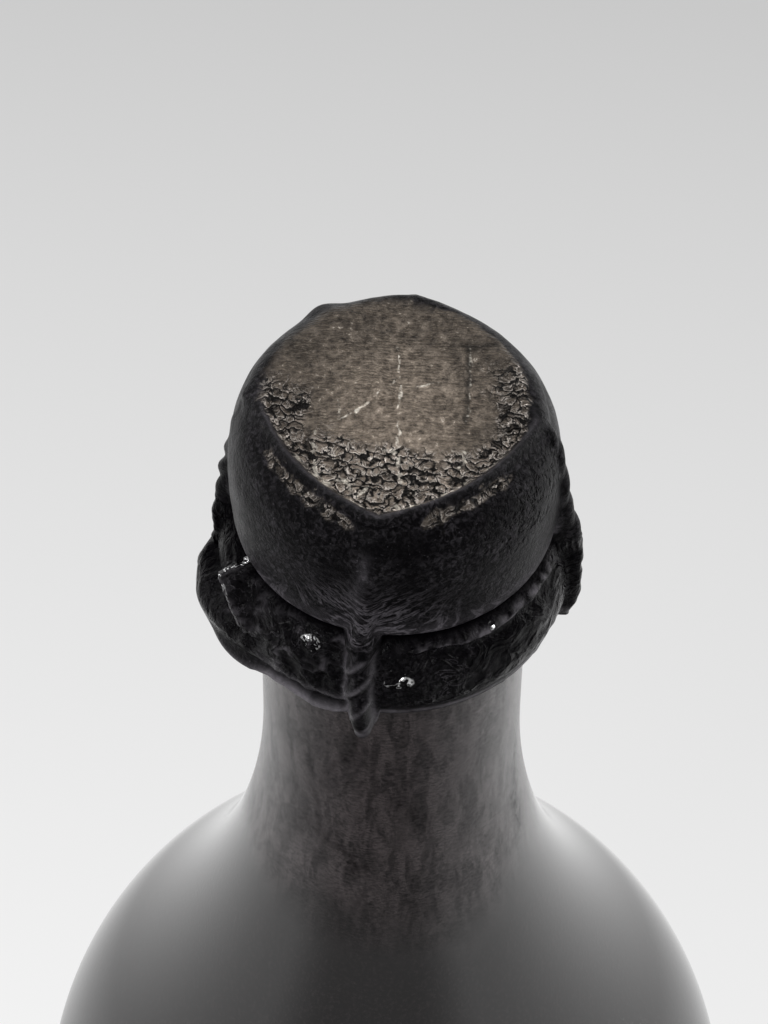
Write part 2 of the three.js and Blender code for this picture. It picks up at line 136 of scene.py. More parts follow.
def turned(name, profile, steps, fill_first=False, fill_last=False):
    """A circle extruded ring by ring along a profile of radius and height in millimetres."""
    deselect()
    radius, z = profile[0]
    bpy.ops.mesh.primitive_circle_add(
        vertices=steps,
        radius=radius * MM,
        fill_type="NGON" if fill_first else "NOTHING",
        location=(0, 0, z * MM),
    )
    obj = bpy.context.object
    obj.name = name
    bpy.ops.object.transform_apply(location=True, rotation=True, scale=True)
    bpy.ops.object.mode_set(mode="EDIT")
    bpy.ops.mesh.select_mode(type="EDGE")
    bpy.ops.mesh.select_all(action="SELECT")
    for next_radius, next_z in profile[1:]:
        bpy.ops.mesh.extrude_edges_move(TRANSFORM_OT_translate={"value": (0, 0, (next_z - z) * MM)})
        share = next_radius / radius
        bpy.ops.transform.resize(value=(share, share, 1), center_override=(0, 0, 0))
        radius, z = next_radius, next_z
    if fill_last:
        bpy.ops.mesh.edge_face_add()
    bpy.ops.mesh.select_all(action="SELECT")
    bpy.ops.mesh.normals_make_consistent(inside=False)
    bpy.ops.object.mode_set(mode="OBJECT")
    return obj


def points_of(obj):
    """Vertex places in millimetres."""
    flat = np.empty(len(obj.data.vertices) * 3)
    obj.data.vertices.foreach_get("co", flat)
    return flat.reshape(-1, 3) / MM


def normals_of(obj):
    flat = np.empty(len(obj.data.vertices) * 3)
    obj.data.vertices.foreach_get("normal", flat)
    return flat.reshape(-1, 3)


def move_points(obj, places):
    """Writes vertex places, given in millimetres."""
    obj.data.vertices.foreach_set("co", (places * MM).ravel())
    obj.data.update()


def paint(obj, name, values):
    """Keeps one number per vertex on the mesh, for its material to read."""
    attribute = obj.data.attributes.new(name, "FLOAT", "POINT")
    attribute.data.foreach_set("value", np.asarray(values, np.float32))


def polar(places):
    """Radius, angle from the front in degrees and height of each place."""
    radius = np.hypot(places[:, 0], places[:, 1])
    angle = np.degrees(np.arctan2(places[:, 0], -places[:, 1]))
    return radius, angle, places[:, 2]


def turn_between(angle, centre):
    """Degrees from a centre angle, between -180 and 180."""
    return (angle - centre + 180.0) % 360.0 - 180.0


def ease(x):
    t = np.clip(x, 0.0, 1.0)
    return t * t * (3 - 2 * t)


def hump(x, half):
    """A round hump of height 1 that has died away at three half widths."""
    return np.exp(-((x / half) ** 2))


def grain(places, spacing, seed=0.0, octaves=1):
    """Smooth noise between about -1 and 1, with this spacing in millimetres."""
    offset = Vector((seed * 17.3, seed * 5.7, seed * 9.1))
    scaled = places / spacing
    if octaves == 1:
        return np.array([noise.noise(Vector(p) + offset) for p in scaled])
    return np.array([noise.fractal(Vector(p) + offset, 1.0, 2.0, octaves) for p in scaled])


def shade(obj, degrees=60):
    only(obj)
    bpy.ops.object.shade_smooth_by_angle(angle=math.radians(degrees))


def dress(obj, material, body, nodes):
    """Gives a finished piece its material and says what it rides on and stands for."""
    obj.data.materials.clear()
    obj.data.materials.append(material)
    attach(obj, body)
    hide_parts(*nodes)


# Materials

# Settings of nodes that come up often
TIMES = {"operation": "MULTIPLY"}
TIMES_PLUS = {"operation": "MULTIPLY_ADD"}
PLUS = {"operation": "ADD"}
MINUS = {"operation": "SUBTRACT"}
LARGER = {"operation": "MAXIMUM"}
SIZE_OF = {"operation": "ABSOLUTE"}
SMOOTH = {"interpolation_type": "SMOOTHSTEP"}
COLOURS = {"data_type": "RGBA", "out": 2}
NUMBERS = {"data_type": "FLOAT"}
FLAT_CELLS = {"voronoi_dimensions": "2D"}

# A wave texture of scale 1 has this many radians to the metre
WAVE_RADIANS = 20.0

# Dark runs of dirt down the neck: angle and height of head and foot, half width in degrees, and strength
DIRT_RUNS = (
    (-48.0, 284.0, -38.0, 255.0, 2.5, 0.5),
    (-31.0, 269.0, -26.0, 256.8, 4.0, 0.5),
    (-26.0, 256.8, -6.0, 252.0, 11.0, 0.6),
    (-8.0, 277.0, -25.0, 265.0, 4.5, 0.5),
    (6.0, 266.0, 20.0, 261.0, 9.0, 0.3),
    (79.0, 264.0, 76.0, 247.0, 8.0, 0.9),
    (-61.0, 268.0, -60.0, 259.0, 4.0, 0.5),
)


def bottle_glass():
    """Moulded champagne glass: so dark and warm a green that it looks black, with a fire-polished gloss.
    The neck carries a fine grey-brown bloom of cellar dust, dull, with a few dark runs of dirt down it."""
    material, add, place = new_material("dark_bottle_glass")
    x, y, height = add("SeparateXYZ", (place,)).node.outputs
    level = add("Mapping", {"Vector": place, "Scale": (1.0, 1.0, 2.2)})
    upright = add("Mapping", {"Vector": place, "Scale": (1.0, 1.0, 0.3)})

    # Noise: grain in millimetres, detail, roughness, distortion, and where it is read
    grains = {
        "waver": (3.3333, 4, 0.7, 0.0, place),
        "patches": (1.4286, 4, 0.7, 0.0, place),
        "border": (16.667, 3, 0.5, 0.0, place),
        "fine": (0.58824, 5, 0.8, 0.0, level),
        "runs": (1.9231, 4, 0.6, 0.5, upright),
        "smears": (12.5, 4, 0.6, 0.6, upright),
        "streaks": (18.182, 3, 0.5, 1.2, upright),
        "specks": (0.45455, 2, 0.6, 0.0, place),
    }
    field = {}
    for name, (size, detail, roughness, twist, where) in grains.items():
        inputs = {"Vector": where, "Scale": per_metre(size), "Detail": detail}
        field[name] = add("TexNoise", {**inputs, "Roughness": roughness, "Distortion": twist})

    # Painted shade in a collar under the hem, and dark runs of dirt whose sides waver
    angle = add("Math", (x, add("Math", (y, -1.0), **TIMES)), operation="ARCTAN2")
    angle = add("Math", (add("Math", (field["waver"], 0.5), **MINUS), 0.3, angle), **TIMES_PLUS)
    wiped_and_painted_shade = add("MapRange", (height, 0.277, 0.286, 0.0, 0.5), **SMOOTH)
    for head, head_z, foot, foot_z, half, strength in DIRT_RUNS:
        low, high = foot_z * MM, head_z * MM
        middle = add("MapRange", (height, low, high, math.radians(foot), math.radians(head)), **SMOOTH)
        off = add("Math", (add("Math", (angle, middle), **MINUS),), **SIZE_OF)
        run = add("MapRange", (off, 0.0, math.radians(half), strength, 0.0), **SMOOTH)
        for nothing, whole in ((low - 0.003, low + 0.001), (high + 0.003, high - 0.001)):
            run = add("Math", (run, add("MapRange", (height, nothing, whole), **SMOOTH)), **TIMES)
        wiped_and_painted_shade = add("Math", (run, wiped_and_painted_shade), **LARGER)
    wiped_and_painted_shade = add("Math", (wiped_and_painted_shade, add("MapRange", (field["patches"], 0.35, 0.6, 0.3, 1.0), **SMOOTH)), **TIMES)

    # Dust, from a ragged line upwards
    border = add("Math", (field["border"], 0.014, height), **TIMES_PLUS)
    bloom = add("MapRange", (border, 0.242, 0.256), **SMOOTH)
    fine = add("Math", (add("MapRange", (field["fine"], 0.4, 0.6), **SMOOTH), 0.52), **TIMES)
    cover = add("Math", (add("MapRange", (field["runs"], 0.4, 0.6), **SMOOTH), 0.45, fine), **TIMES_PLUS)
    smears = add("MapRange", (field["smears"], 0.36, 0.62, 0.74, 1.02), **SMOOTH)
    cover = add("Math", (cover, smears), **TIMES)
    streak = add("Math", (add("Math", (field["streaks"], 0.5), **MINUS),), **SIZE_OF)
    cover = add("Math", (cover, add("MapRange", (streak, 0.0, 0.04, 0.75, 1.0), **SMOOTH)), **TIMES)
    veil = add("Math", (bloom, cover), **TIMES)
    specks = add("MapRange", (field["specks"], 0.45, 0.75, 0.0, 0.18), **SMOOTH)
    dust = add("Math", (add("Math", (veil, specks), **LARGER), add("Math", (1.0, wiped_and_painted_shade), **MINUS)), **TIMES)

    gloss = add("Math", (veil, 0.46, add("MapRange", (bloom, 0.0, 1.0, 1.8, 1.5), **SMOOTH)), **TIMES_PLUS)
    surface = add(
        "BsdfPrincipled",
        {
            "Base Color": add("Mix", {0: dust, 6: linear("#0c0708"), 7: linear("#4c4344")}, **COLOURS),
            "Roughness": add("Math", (bloom, 0.18, 0.07), **TIMES_PLUS),
            "Normal": add("Bump", {"Height": dust, "Strength": 0.15, "Distance": 0.0002}),
            "IOR": add("Math", (wiped_and_painted_shade, -0.4, gloss), **TIMES_PLUS),
        },
    )
    add("OutputMaterial", {"Surface": surface})
    return material


# What shape_capsule paints on the capsule for its material
CAPSULE_MASKS = (
    "bronze",
    "crackled",
    "scratch",
    "crack",
    "darkened",
    "pitted",
    "painted_sheen",
    "gathered",
    "drawn",
    "painted_shade",
    "beads_and_painted_glints",
    "polished",
    "wrinkle_height",
)


def capsule_foil():
    """Heat-shrunk capsule film, satin black with a cool tint: leathery grain, hair-fine wrinkles where it is
    drawn to a wire or an edge, and wet-looking where it has gathered under the cork head. Painted sheen and
    painted highlights lighten its edges, lips, folds and leg strands, painted shade darkens its crease, and
    painted glints sit on small beads. Its top is printed in bronze, finely woven, darker towards its edge,
    and broken into small lifted plates where it was drawn to the crown wire, each with a painted lit lip and
    a painted shadow."""
    material, add, place = new_material("shrunk_capsule_foil")
    masks = [add("Attribute", out="Fac", attribute_name=name) for name in CAPSULE_MASKS]
    bronze, crackled, scratch, crack, darkened, pitted, painted_sheen = masks[:7]
    gathered, drawn, painted_shade, beads_and_painted_glints, polished, wrinkles = masks[7:]

    def ridge(value, middle, half):
        """1 where a value passes its middle, 0 beyond half a width from it."""
        off = add("Math", (add("Math", (value, middle), **MINUS),), **SIZE_OF)
        return add("MapRange", (off, 0.0, half, 1.0, 0.0))

    fan = add("VectorMath", (place, (0.22, 0.22, 0.0)), **TIMES)
    fan = add("VectorMath", (fan, add("CombineXYZ", (0.0, 0.0, wrinkles))), **PLUS)
    nearer = add("VectorMath", (place, (0.0, 0.0003, 0.0)), **PLUS)

    # Noise: grain in millimetres, detail, roughness, distortion, and where it is read
    grains = {
        "leather": (0.55556, 4, 0.65, 0.6, place),
        "hairs": (0.66667, 4, 0.6, 0.4, fan),
        "mottle": (3.0303, 6, 0.65, 0.8, place),
        "dust": (0.38462, 2, 0.5, 0.0, place),
        "rubbed": (5.2632, 4, 0.6, 0.0, place),
        "pits": (1.1111, 3, 0.6, 0.0, place),
        "strokes": (4.1667, 3, 0.6, 1.5, place),
        "stroked": (6.6667, 2, 0.5, 0.0, place),
        "creases": (3.8462, 3, 0.5, 1.2, place),
        "drops": (1.0526, 2, 0.5, 1.2, place),
        "patches": (6.6667, 5, 0.65, 0.0, place),
        "speckle": (0.76923, 6, 0.8, 0.0, place),
        "drift": (1.7857, 4, 0.5, 0.0, place),
        "gaps": (1.6667, 3, 0.6, 0.0, place),
        "curled": (2.8571, 2, 0.5, 0.0, place),
        "curls": (1.7857, 2, 0.5, 2.0, place),
        "curl_shade": (1.7857, 2, 0.5, 2.0, nearer),
        "scratches": (0.90909, 3, 0.6, 0.0, place),
    }
    field = {}
    for name, (size, detail, roughness, twist, where) in grains.items():
        inputs = {"Vector": where, "Scale": per_metre(size), "Detail": detail}
        field[name] = add("TexNoise", {**inputs, "Roughness": roughness, "Distortion": twist})
    leather, hairs, mottle = field["leather"], field["hairs"], field["mottle"]
    drops, speckle = field["drops"], field["speckle"]

    # Black film: where it is worn to grey or lightened by painted sheen and painted highlights, where painted
    # shade keeps it black, its relief and its painted glints
    hair_lines = add("Math", (ridge(hairs, 0.5, 0.05), drawn), **TIMES)
    rubbed = add("MapRange", (field["rubbed"], 0.38, 0.64, 0.05, 0.28))
    pits = add("Math", (add("MapRange", (field["pits"], 0.5, 0.36)), pitted), **TIMES)
    strokes = ridge(field["strokes"], 0.5, 0.014)
    strokes = add("Math", (strokes, add("MapRange", (field["stroked"], 0.52, 0.62, 0.0, 0.26))), **TIMES)
    # Painted sheen and painted highlights on edges, lips, folds and strands lighten the film, beside real
    # wear
    wear_and_painted_sheen = add("Math", (painted_sheen, add("MapRange", (mottle, 0.3, 0.7, 0.1, 0.55))), **TIMES)
    wear_and_painted_sheen = add("Math", (hair_lines, 0.7, wear_and_painted_sheen), **TIMES_PLUS)
    wear_and_painted_sheen = add("Math", (add("MapRange", (leather, 0.46, 0.68)), rubbed, wear_and_painted_sheen), **TIMES_PLUS)
    wear_and_painted_sheen = add("Math", (add("MapRange", (field["dust"], 0.68, 0.76)), 0.3, wear_and_painted_sheen), **TIMES_PLUS)
    wear_and_painted_sheen = add("Math", (wear_and_painted_sheen, add("MapRange", (gathered, 0.0, 1.0, 1.0, 0.3))), **TIMES)
    wear_and_painted_sheen = add("Math", (strokes, gathered, wear_and_painted_sheen), **TIMES_PLUS)
    # Painted shade in the crease and in gaps keeps the film black
    wear_and_painted_sheen = add("Math", (wear_and_painted_sheen, add("MapRange", (painted_shade, 0.0, 1.0, 1.0, 0.0))), **TIMES)
    wear_and_painted_sheen = add("Math", (wear_and_painted_sheen, add("MapRange", (pits, 0.0, 1.0, 1.0, 0.2))), **TIMES)
    creased = add("Math", (gathered, ridge(field["creases"], 0.5, 0.12)), **TIMES)
    film_relief = add("Math", (leather, add("MapRange", (gathered, 0.0, 1.0, 0.55, 0.2))), **TIMES)
    film_relief = add("Math", (hairs, add("Math", (drawn, 0.9), **TIMES), film_relief), **TIMES_PLUS)
    film_relief = add("Math", (pits, -2.0, film_relief), **TIMES_PLUS)
    film_relief = add("Math", (creased, 0.5, film_relief), **TIMES_PLUS)
    film_relief = add("Math", (beads_and_painted_glints, add("Math", (drops, 2.5), **TIMES), film_relief), **TIMES_PLUS)
    in_spot = add("MapRange", (beads_and_painted_glints, 0.2, 0.5))
    # Painted glints: white metallic flecks on the beads stand in for highlights of the lamps
    painted_glint = add("Math", (add("MapRange", (drops, 0.53, 0.56)), in_spot), **TIMES)
    black = add("Mix", {0: wear_and_painted_sheen, 6: linear("#030204"), 7: linear("#6c686e")}, **COLOURS)
    black = add("Mix", {0: painted_glint, 6: black, 7: linear("#fbfbfc")}, **COLOURS)

    # Bronze print, plain: woven in rows 0.45 mm apart, speckled, and darker towards its edge
    rows = add("Mapping", {"Vector": place, "Rotation": (0, 0, math.radians(-CAMERA_AZIMUTH))})
    row_scale = 2 * math.pi / WAVE_RADIANS * per_metre(0.4488)
    weave = add(
        "TexWave",
        {"Vector": rows, "Scale": row_scale, "Distortion": 5.0, "Detail": 3.0, "Detail Scale": 1.5},
        out="Fac",
        wave_type="BANDS",
        bands_direction="Y",
    )
    weave = add("Math", (weave, add("MapRange", (field["pits"], 0.38, 0.58))), **TIMES)
    tone = add("MapRange", (field["patches"], 0.3, 0.7, 0.0, 0.12))
    tone = add("Math", (add("MapRange", (speckle, 0.34, 0.66, 0.0, 0.88)), tone), **PLUS)
    tone = add("Math", (weave, -0.11, tone), **TIMES_PLUS)
    darkening = add("Math", (darkened, 0.65), **TIMES)
    undarkened = add("Math", (darkened, -0.3, 1.0), **TIMES_PLUS)
    plain = add("Mix", {0: tone, 6: linear("#2f2822"), 7: linear("#a29485")}, **COLOURS)
    plain = add("Mix", {0: darkening, 6: plain, 7: linear("#191614")}, **COLOURS)
    bright = add("Math", (add("MapRange", (speckle, 0.62, 0.7)), undarkened), **TIMES)
    flecked = add("Mix", {0: bright, 6: plain, 7: linear("#e6ddd0")}, **COLOURS)
    dark = add("MapRange", (speckle, 0.4, 0.33, 0.0, 0.6))
    flecked = add("Mix", {0: dark, 6: flecked, 7: linear("#1f1a17")}, **COLOURS)

    # Bronze print, broken: plates with a dark gap that widens into painted shadow on the far side of each,
    # a painted lit lip and painted shading lighter on the near side, and curls with a painted highlight and a
    # painted shadow beside each
    drift = add("VectorMath", (field["drift"].node.outputs["Color"], (0.5, 0.5, 0.5)), **MINUS)
    shift = add("VectorMath", {0: drift, "Scale": 0.0036}, operation="SCALE")
    bent = add("VectorMath", (place, shift), **PLUS)
    long_plates = add("Mapping", {"Vector": bent, "Scale": (1.0, 1.35, 1.0)})
    cells = {"Vector": long_plates, "Scale": per_metre(1.2821), "Randomness": 1.0}
    edge = add("TexVoronoi", cells, out="Distance", feature="DISTANCE_TO_EDGE", **FLAT_CELLS)
    plate = add("TexVoronoi", cells, out="Color", feature="F1", **FLAT_CELLS)
    lean = add("VectorMath", (plate, (0.5, 0.5, 0.5)), **MINUS)
    arm = add("VectorMath", (long_plates, plate.node.outputs["Position"]), **MINUS)
    arm = add("VectorMath", (arm, (1.0, 1.0, 0.0)), **TIMES)
    tilt = add("VectorMath", (lean, arm), out="Value", operation="DOT_PRODUCT")
    inner = add("SeparateXYZ", (arm,), out="Y")
    gap_width = add("Math", (crackled, add("MapRange", (field["gaps"], 0.36, 0.6, 0.04, 0.6))), **TIMES)
    # Painted shadow: the gap widens on the far side of each plate
    gap_width = add("Math", (gap_width, add("MapRange", (inner, -0.0002, 0.0003, 0.2, 1.0))), **TIMES)
    gap_start = add("Math", (gap_width, 0.35), **TIMES)
    gap_end = add("Math", (gap_width, 0.005), **PLUS)
    gap = add("MapRange", (edge, gap_start, gap_end, 1.0, 0.0))
    plate_tone = add("Math", (add("SeparateColor", (plate,)), 0.3), **TIMES)
    plate_tone = add("Math", (add("MapRange", (speckle, 0.36, 0.64, 0.0, 0.35)), plate_tone), **PLUS)
    # Painted shading: each plate is lighter towards its near side
    plate_tone = add("Math", (add("MapRange", (inner, 0.0006, -0.0006, 0.0, 0.45)), plate_tone), **PLUS)
    some = add("MapRange", (field["curled"], 0.38, 0.48))
    curl = add("Math", (ridge(field["curls"], 0.5, 0.034), some), **TIMES)
    # Painted shadow just nearer than each curl's painted highlight
    below = add("Math", (ridge(field["curl_shade"], 0.5, 0.075), some), **TIMES)
    # Painted highlight: a lit lip along the near edge of each plate
    rim = add("Math", (ridge(edge, 0.1, 0.12), add("MapRange", (inner, 0.0, -0.0004))), **TIMES)
    rim = add("Math", (rim, add("MapRange", (crackled, 0.4, 1.0))), **TIMES)
    rim = add("Math", (add("Math", (rim, curl), **LARGER), undarkened), **TIMES)
    broken = add("Mix", {0: plate_tone, 6: linear("#2b2420"), 7: linear("#b0a294")}, **COLOURS)
    for share, tint in (
        (darkening, "#191614"),
        (add("Math", (below, 0.92), **TIMES), "#0d0a09"),
        (rim, "#f3e9e0"),
        (gap, "#0f0c0b"),
    ):
        broken = add("Mix", {0: share, 6: broken, 7: linear(tint)}, **COLOURS)

    # Whole print, with its pale scratches and dark cracks, on the film
    printed = add("Mix", {0: add("MapRange", (crackled, 0.05, 0.65)), 6: flecked, 7: broken}, **COLOURS)
    scratched = add("MapRange", (field["scratches"], 0.46, 0.58, 0.0, 0.85))
    pale = add("Math", (add("MapRange", (scratch, 0.68, 0.88)), scratched), **TIMES)
    printed = add("Mix", {0: pale, 6: printed, 7: linear("#e9e1d4")}, **COLOURS)
    open_crack = add("Math", (crack, 0.85), **TIMES)
    printed = add("Mix", {0: open_crack, 6: printed, 7: linear("#14110e")}, **COLOURS)
    plate_relief = add("Math", (tilt, 2400.0, add("MapRange", (edge, 0.0, 0.22, -0.6, 0.0))), **TIMES_PLUS)
    relief = add("Math", (crackled, plate_relief), **TIMES)
    relief = add("Math", (add("Math", (weave, speckle), **PLUS), 0.25, relief), **TIMES_PLUS)
    relief = add("Math", (add("Math", (curl, crackled), **TIMES), 0.5, relief), **TIMES_PLUS)
    film_bump = add("Bump", {"Height": film_relief, "Strength": 0.9, "Distance": 0.0004})
    bronze_bump = add("Bump", {"Height": relief, "Strength": 1.0, "Distance": 0.0004})

    # Roughness and gloss: each share and value lies over the one before
    rough = add("MapRange", (mottle, 0.3, 0.7, 0.3, 0.45))
    for share, value in ((gathered, 0.12), (polished, 0.22), (painted_glint, 0.12), (bronze, 0.28)):
        rough = add("Mix", {0: share, 2: rough, 3: value}, **NUMBERS)
    gloss = 1.15
    for share, value in ((gathered, 1.165), (painted_shade, 1.05), (polished, 1.45), (bronze, 1.4)):
        gloss = add("Mix", {0: share, 2: gloss, 3: value}, **NUMBERS)
    surface = add(
        "BsdfPrincipled",
        {
            "Base Color": add("Mix", {0: bronze, 6: black, 7: printed}, **COLOURS),
            "Metallic": add("Math", (add("Math", (bronze, 0.5), **TIMES), painted_glint), **LARGER),
            "Roughness": rough,
            "Normal": add("Mix", {0: bronze, 4: film_bump, 5: bronze_bump}, out=1, data_type="VECTOR"),
            "IOR": gloss,
        },
    )
    add("OutputMaterial", {"Surface": surface})
    return material


def floor_paper():
    """Pale seamless paper, lighter close behind the bottle. Camera rays see it as a plain background and keep
    some of its own shading, so the shadow stays. Glossy and transmitted rays see painted shadows on it:
    dimmed in front of the bottle by the camera's stand, and darker towards the front."""
    material, add, place = new_material("pale_floor_paper")
    depth = add("SeparateXYZ", (place,), out="Y")
    fade = add("MapRange", (depth, 0.1, 0.38, 0.935, 0.55))
    # Painted shadows for glossy and transmitted rays: the camera stand's shadow and a darker lane in front of
    # the bottle
    ahead = add("VectorMath", (place, (-0.01, -0.12, 0.0)), out="Value", operation="DISTANCE")
    stand_shadow = add("MapRange", (ahead, 0.13, 0.33, 0.36, 1.0), **SMOOTH)
    reach = add("VectorMath", (place,), out="Value", operation="LENGTH")
    facing = add("Math", (depth, reach), operation="DIVIDE")
    lane = add("MapRange", (facing, -0.95, -0.55, 0.45, 1.0), **SMOOTH)
    front = add("MapRange", (facing, -0.6, 0.8, 0.62, 1.0), **SMOOTH)
    mirrored = add("Math", (stand_shadow, add("Math", (lane, front), **TIMES)), **TIMES)
    camera_ray = add("LightPath", out="Is Camera Ray")
    rays = camera_ray.node.outputs
    beyond = add("Math", (rays["Is Glossy Ray"], rays["Is Transmission Ray"]), **LARGER)
    direct = add("Math", (camera_ray, 0.8, beyond), **TIMES_PLUS)
    shine = add("Mix", {0: camera_ray, 2: mirrored, 3: fade}, **NUMBERS)
    glow = add("Emission", {"Strength": shine})
    paper = add("BsdfDiffuse", {"Color": linear("#e6e6e6")})
    add("OutputMaterial", {"Surface": add("MixShader", (direct, paper, glow))})
    return material


def steel_wire():
    """Drawn galvanised steel wire: bright zinc grey with fine dull streaks."""
    material, add, place = new_material("galvanised_steel_wire")
    spangle = add("TexNoise", {"Vector": place, "Scale": per_metre(1.1111), "Detail": 4.0, "Roughness": 0.6})
    surface = add(
        "BsdfPrincipled",
        {
            "Base Color": add("Mix", {0: spangle, 6: linear("#6f6d69"), 7: linear("#b3b0aa")}, **COLOURS),
            "Metallic": 1.0,
            "Roughness": add("MapRange", (spangle, 0.0, 1.0, 0.22, 0.5)),
        },
    )
    add("OutputMaterial", {"Surface": surface})
    return material


def cap_tinplate():
    """Lacquered tinplate of the cap: warm grey metal with a soft orange-peel lacquer."""
    material, add, place = new_material("lacquered_tinplate")
    peel = add("TexNoise", {"Vector": place, "Scale": per_metre(1.4286), "Detail": 3.0, "Roughness": 0.5})
    surface = add(
        "BsdfPrincipled",
        {
            "Base Color": add("Mix", {0: peel, 6: linear("#7b715c"), 7: linear("#a89b80")}, **COLOURS),
            "Metallic": 0.85,
            "Roughness": 0.34,
            "Normal": add("Bump", {"Height": peel, "Strength": 0.08, "Distance": 0.0002}),
        },
    )
    add("OutputMaterial", {"Surface": surface})
    return material


def agglomerate_cork():
    """Agglomerated cork: pressed granules of one to three millimetres in tan and brown, with dark pits."""
    material, add, place = new_material("agglomerated_cork")
    cells = {"Vector": place, "Scale": per_metre(2.0833), "Randomness": 1.0}
    granule = add("TexVoronoi", cells, out="Color", feature="F1")
    seam = add("TexVoronoi", cells, out="Distance", feature="DISTANCE_TO_EDGE")
    tint = add("SeparateColor", (granule,))
    colour = add("Mix", {0: tint, 6: linear("#9a7348"), 7: linear("#caa675")}, **COLOURS)
    gap = add("MapRange", (seam, 0.0, 0.09, 1.0, 0.0))
    surface = add(
        "BsdfPrincipled",
        {
            "Base Color": add("Mix", {0: gap, 6: colour, 7: linear("#6b4a2b")}, **COLOURS),
            "Roughness": 0.85,
            "Normal": add("Bump", {"Height": seam, "Strength": 0.4, "Distance": 0.0004}),
        },
    )
    add("OutputMaterial", {"Surface": surface})
    return material


def natural_cork():
    """Natural cork disc: even tan with growth bands and small brown pores."""
    material, add, place = new_material("natural_cork")
    band_scale = 2 * math.pi / WAVE_RADIANS * per_metre(5.236)
    bands = {"Vector": place, "Scale": band_scale, "Distortion": 6.0, "Detail": 3.0}
    band = add("TexWave", bands, out="Fac", wave_type="BANDS", bands_direction="X")
    pores = add("TexNoise", {"Vector": place, "Scale": per_metre(1.4286), "Detail": 5.0, "Roughness": 0.7})
    colour = add("Mix", {0: band, 6: linear("#b98f5f"), 7: linear("#d2b080")}, **COLOURS)
    pit = add("MapRange", (pores, 0.62, 0.7))
    surface = add(
        "BsdfPrincipled",
        {
            "Base Color": add("Mix", {0: pit, 6: colour, 7: linear("#6f4d2e")}, **COLOURS),
            "Roughness": 0.85,
        },
    )
    add("OutputMaterial", {"Surface": surface})
    return material


# Pieces


def arc(cx, cz, radius, start, end, steps):
    """Points on an arc, angles in degrees from the outward direction."""
    angles = np.radians(np.linspace(start, end, steps + 1))
    return [(cx + radius * math.cos(a), cz + radius * math.sin(a)) for a in angles]


def shoulder(narrow, wide, steps):
    """The two arcs from the body up to the neck that meet on a tangent."""
    bottom = SHOULDER_TOP - SHOULDER_HEIGHT
    bend = 2 * math.atan((wide - narrow) / SHOULDER_HEIGHT)
    both = SHOULDER_HEIGHT / math.sin(bend)
    sweep = both * SWEEP_SHARE
    round_radius = both - sweep
    turn = math.degrees(bend)
    lower = arc(wide - round_radius, bottom, round_radius, 0, turn, steps)
    upper = arc(narrow + sweep, SHOULDER_TOP, sweep, 180 + turn, 180, steps)
    return lower + upper[1:]


def bezier(a, b, c, d, steps):
    out = []
    for t in np.linspace(0, 1, steps + 1):
        s = 1 - t
        out.append(
            tuple(
                s**3 * a[i] + 3 * s * s * t * b[i] + 3 * s * t * t * c[i] + t**3 * d[i]
                for i in (0, 1)
            )
        )
    return out


def make_bottle(material):
    """The bottle's outside from the punt to the lip, then the bore and the inside down to the punt again."""
    inside = BODY_RADIUS - BODY_WALL
    corner = HEEL_RADIUS + BODY_WALL / 2
    tip = 0.4
    profile = bezier(
        (tip, PUNT_DEPTH),
        (0.45 * PUNT_RADIUS, PUNT_DEPTH),
        (0.8 * PUNT_RADIUS, 0.4 * PUNT_DEPTH),
        (PUNT_RADIUS, 0.0),
        12,
    )
    profile += arc(BODY_RADIUS - HEEL_RADIUS, HEEL_RADIUS, HEEL_RADIUS, -90, 0, 8)
    profile += [(BODY_RADIUS, z) for z in (40, 80, 120, 150)]
    profile += shoulder(NECK_RADIUS, BODY_RADIUS, 26)
    profile += [(NECK_RADIUS, 275), (NECK_RADIUS, 286), (NECK_RADIUS, RING_BOTTOM - 0.4)]
    profile += [(NECK_RADIUS + 0.4, RING_BOTTOM), (RING_RADIUS - 1.3, RING_BOTTOM)]
    profile += arc(RING_RADIUS - 1.3, RING_BOTTOM + 1.3, 1.3, -90, 0, 5)[1:]
    profile += arc(RING_RADIUS - 1.3, RING_TOP - 1.3, 1.3, 0, 90, 5)
    profile += [(13.7, RING_TOP), (13.4, RING_TOP + 0.3), (13.4, 295.4), (14.2, 296.2)]
    profile += arc(12.7, LIP_Z - 1.5, 1.5, 0, 90, 5)
    profile += arc(BORE_RADIUS + 1.5, LIP_Z - 1.5, 1.5, 90, 180, 5)
    profile += [(BORE_RADIUS, 290), (BORE_RADIUS, 275)]
    profile += shoulder(BORE_RADIUS, inside, 20)[::-1]
    profile += arc(inside - corner, BASE_WALL + corner, corner, 0, -90, 6)
    profile += bezier(
        (inside - corner, BASE_WALL),
        (0.8 * PUNT_RADIUS, BASE_WALL),
        (0.55 * PUNT_RADIUS, PUNT_DEPTH + BASE_WALL),
        (tip, PUNT_DEPTH + BASE_WALL),
        10,
    )[1:]
    bottle = turned("bottle_glass", profile, 160, fill_first=True, fill_last=True)
    shade(bottle, 50)
    dress(bottle, material, "bottle", ["glass_bottle"])
    return bottle


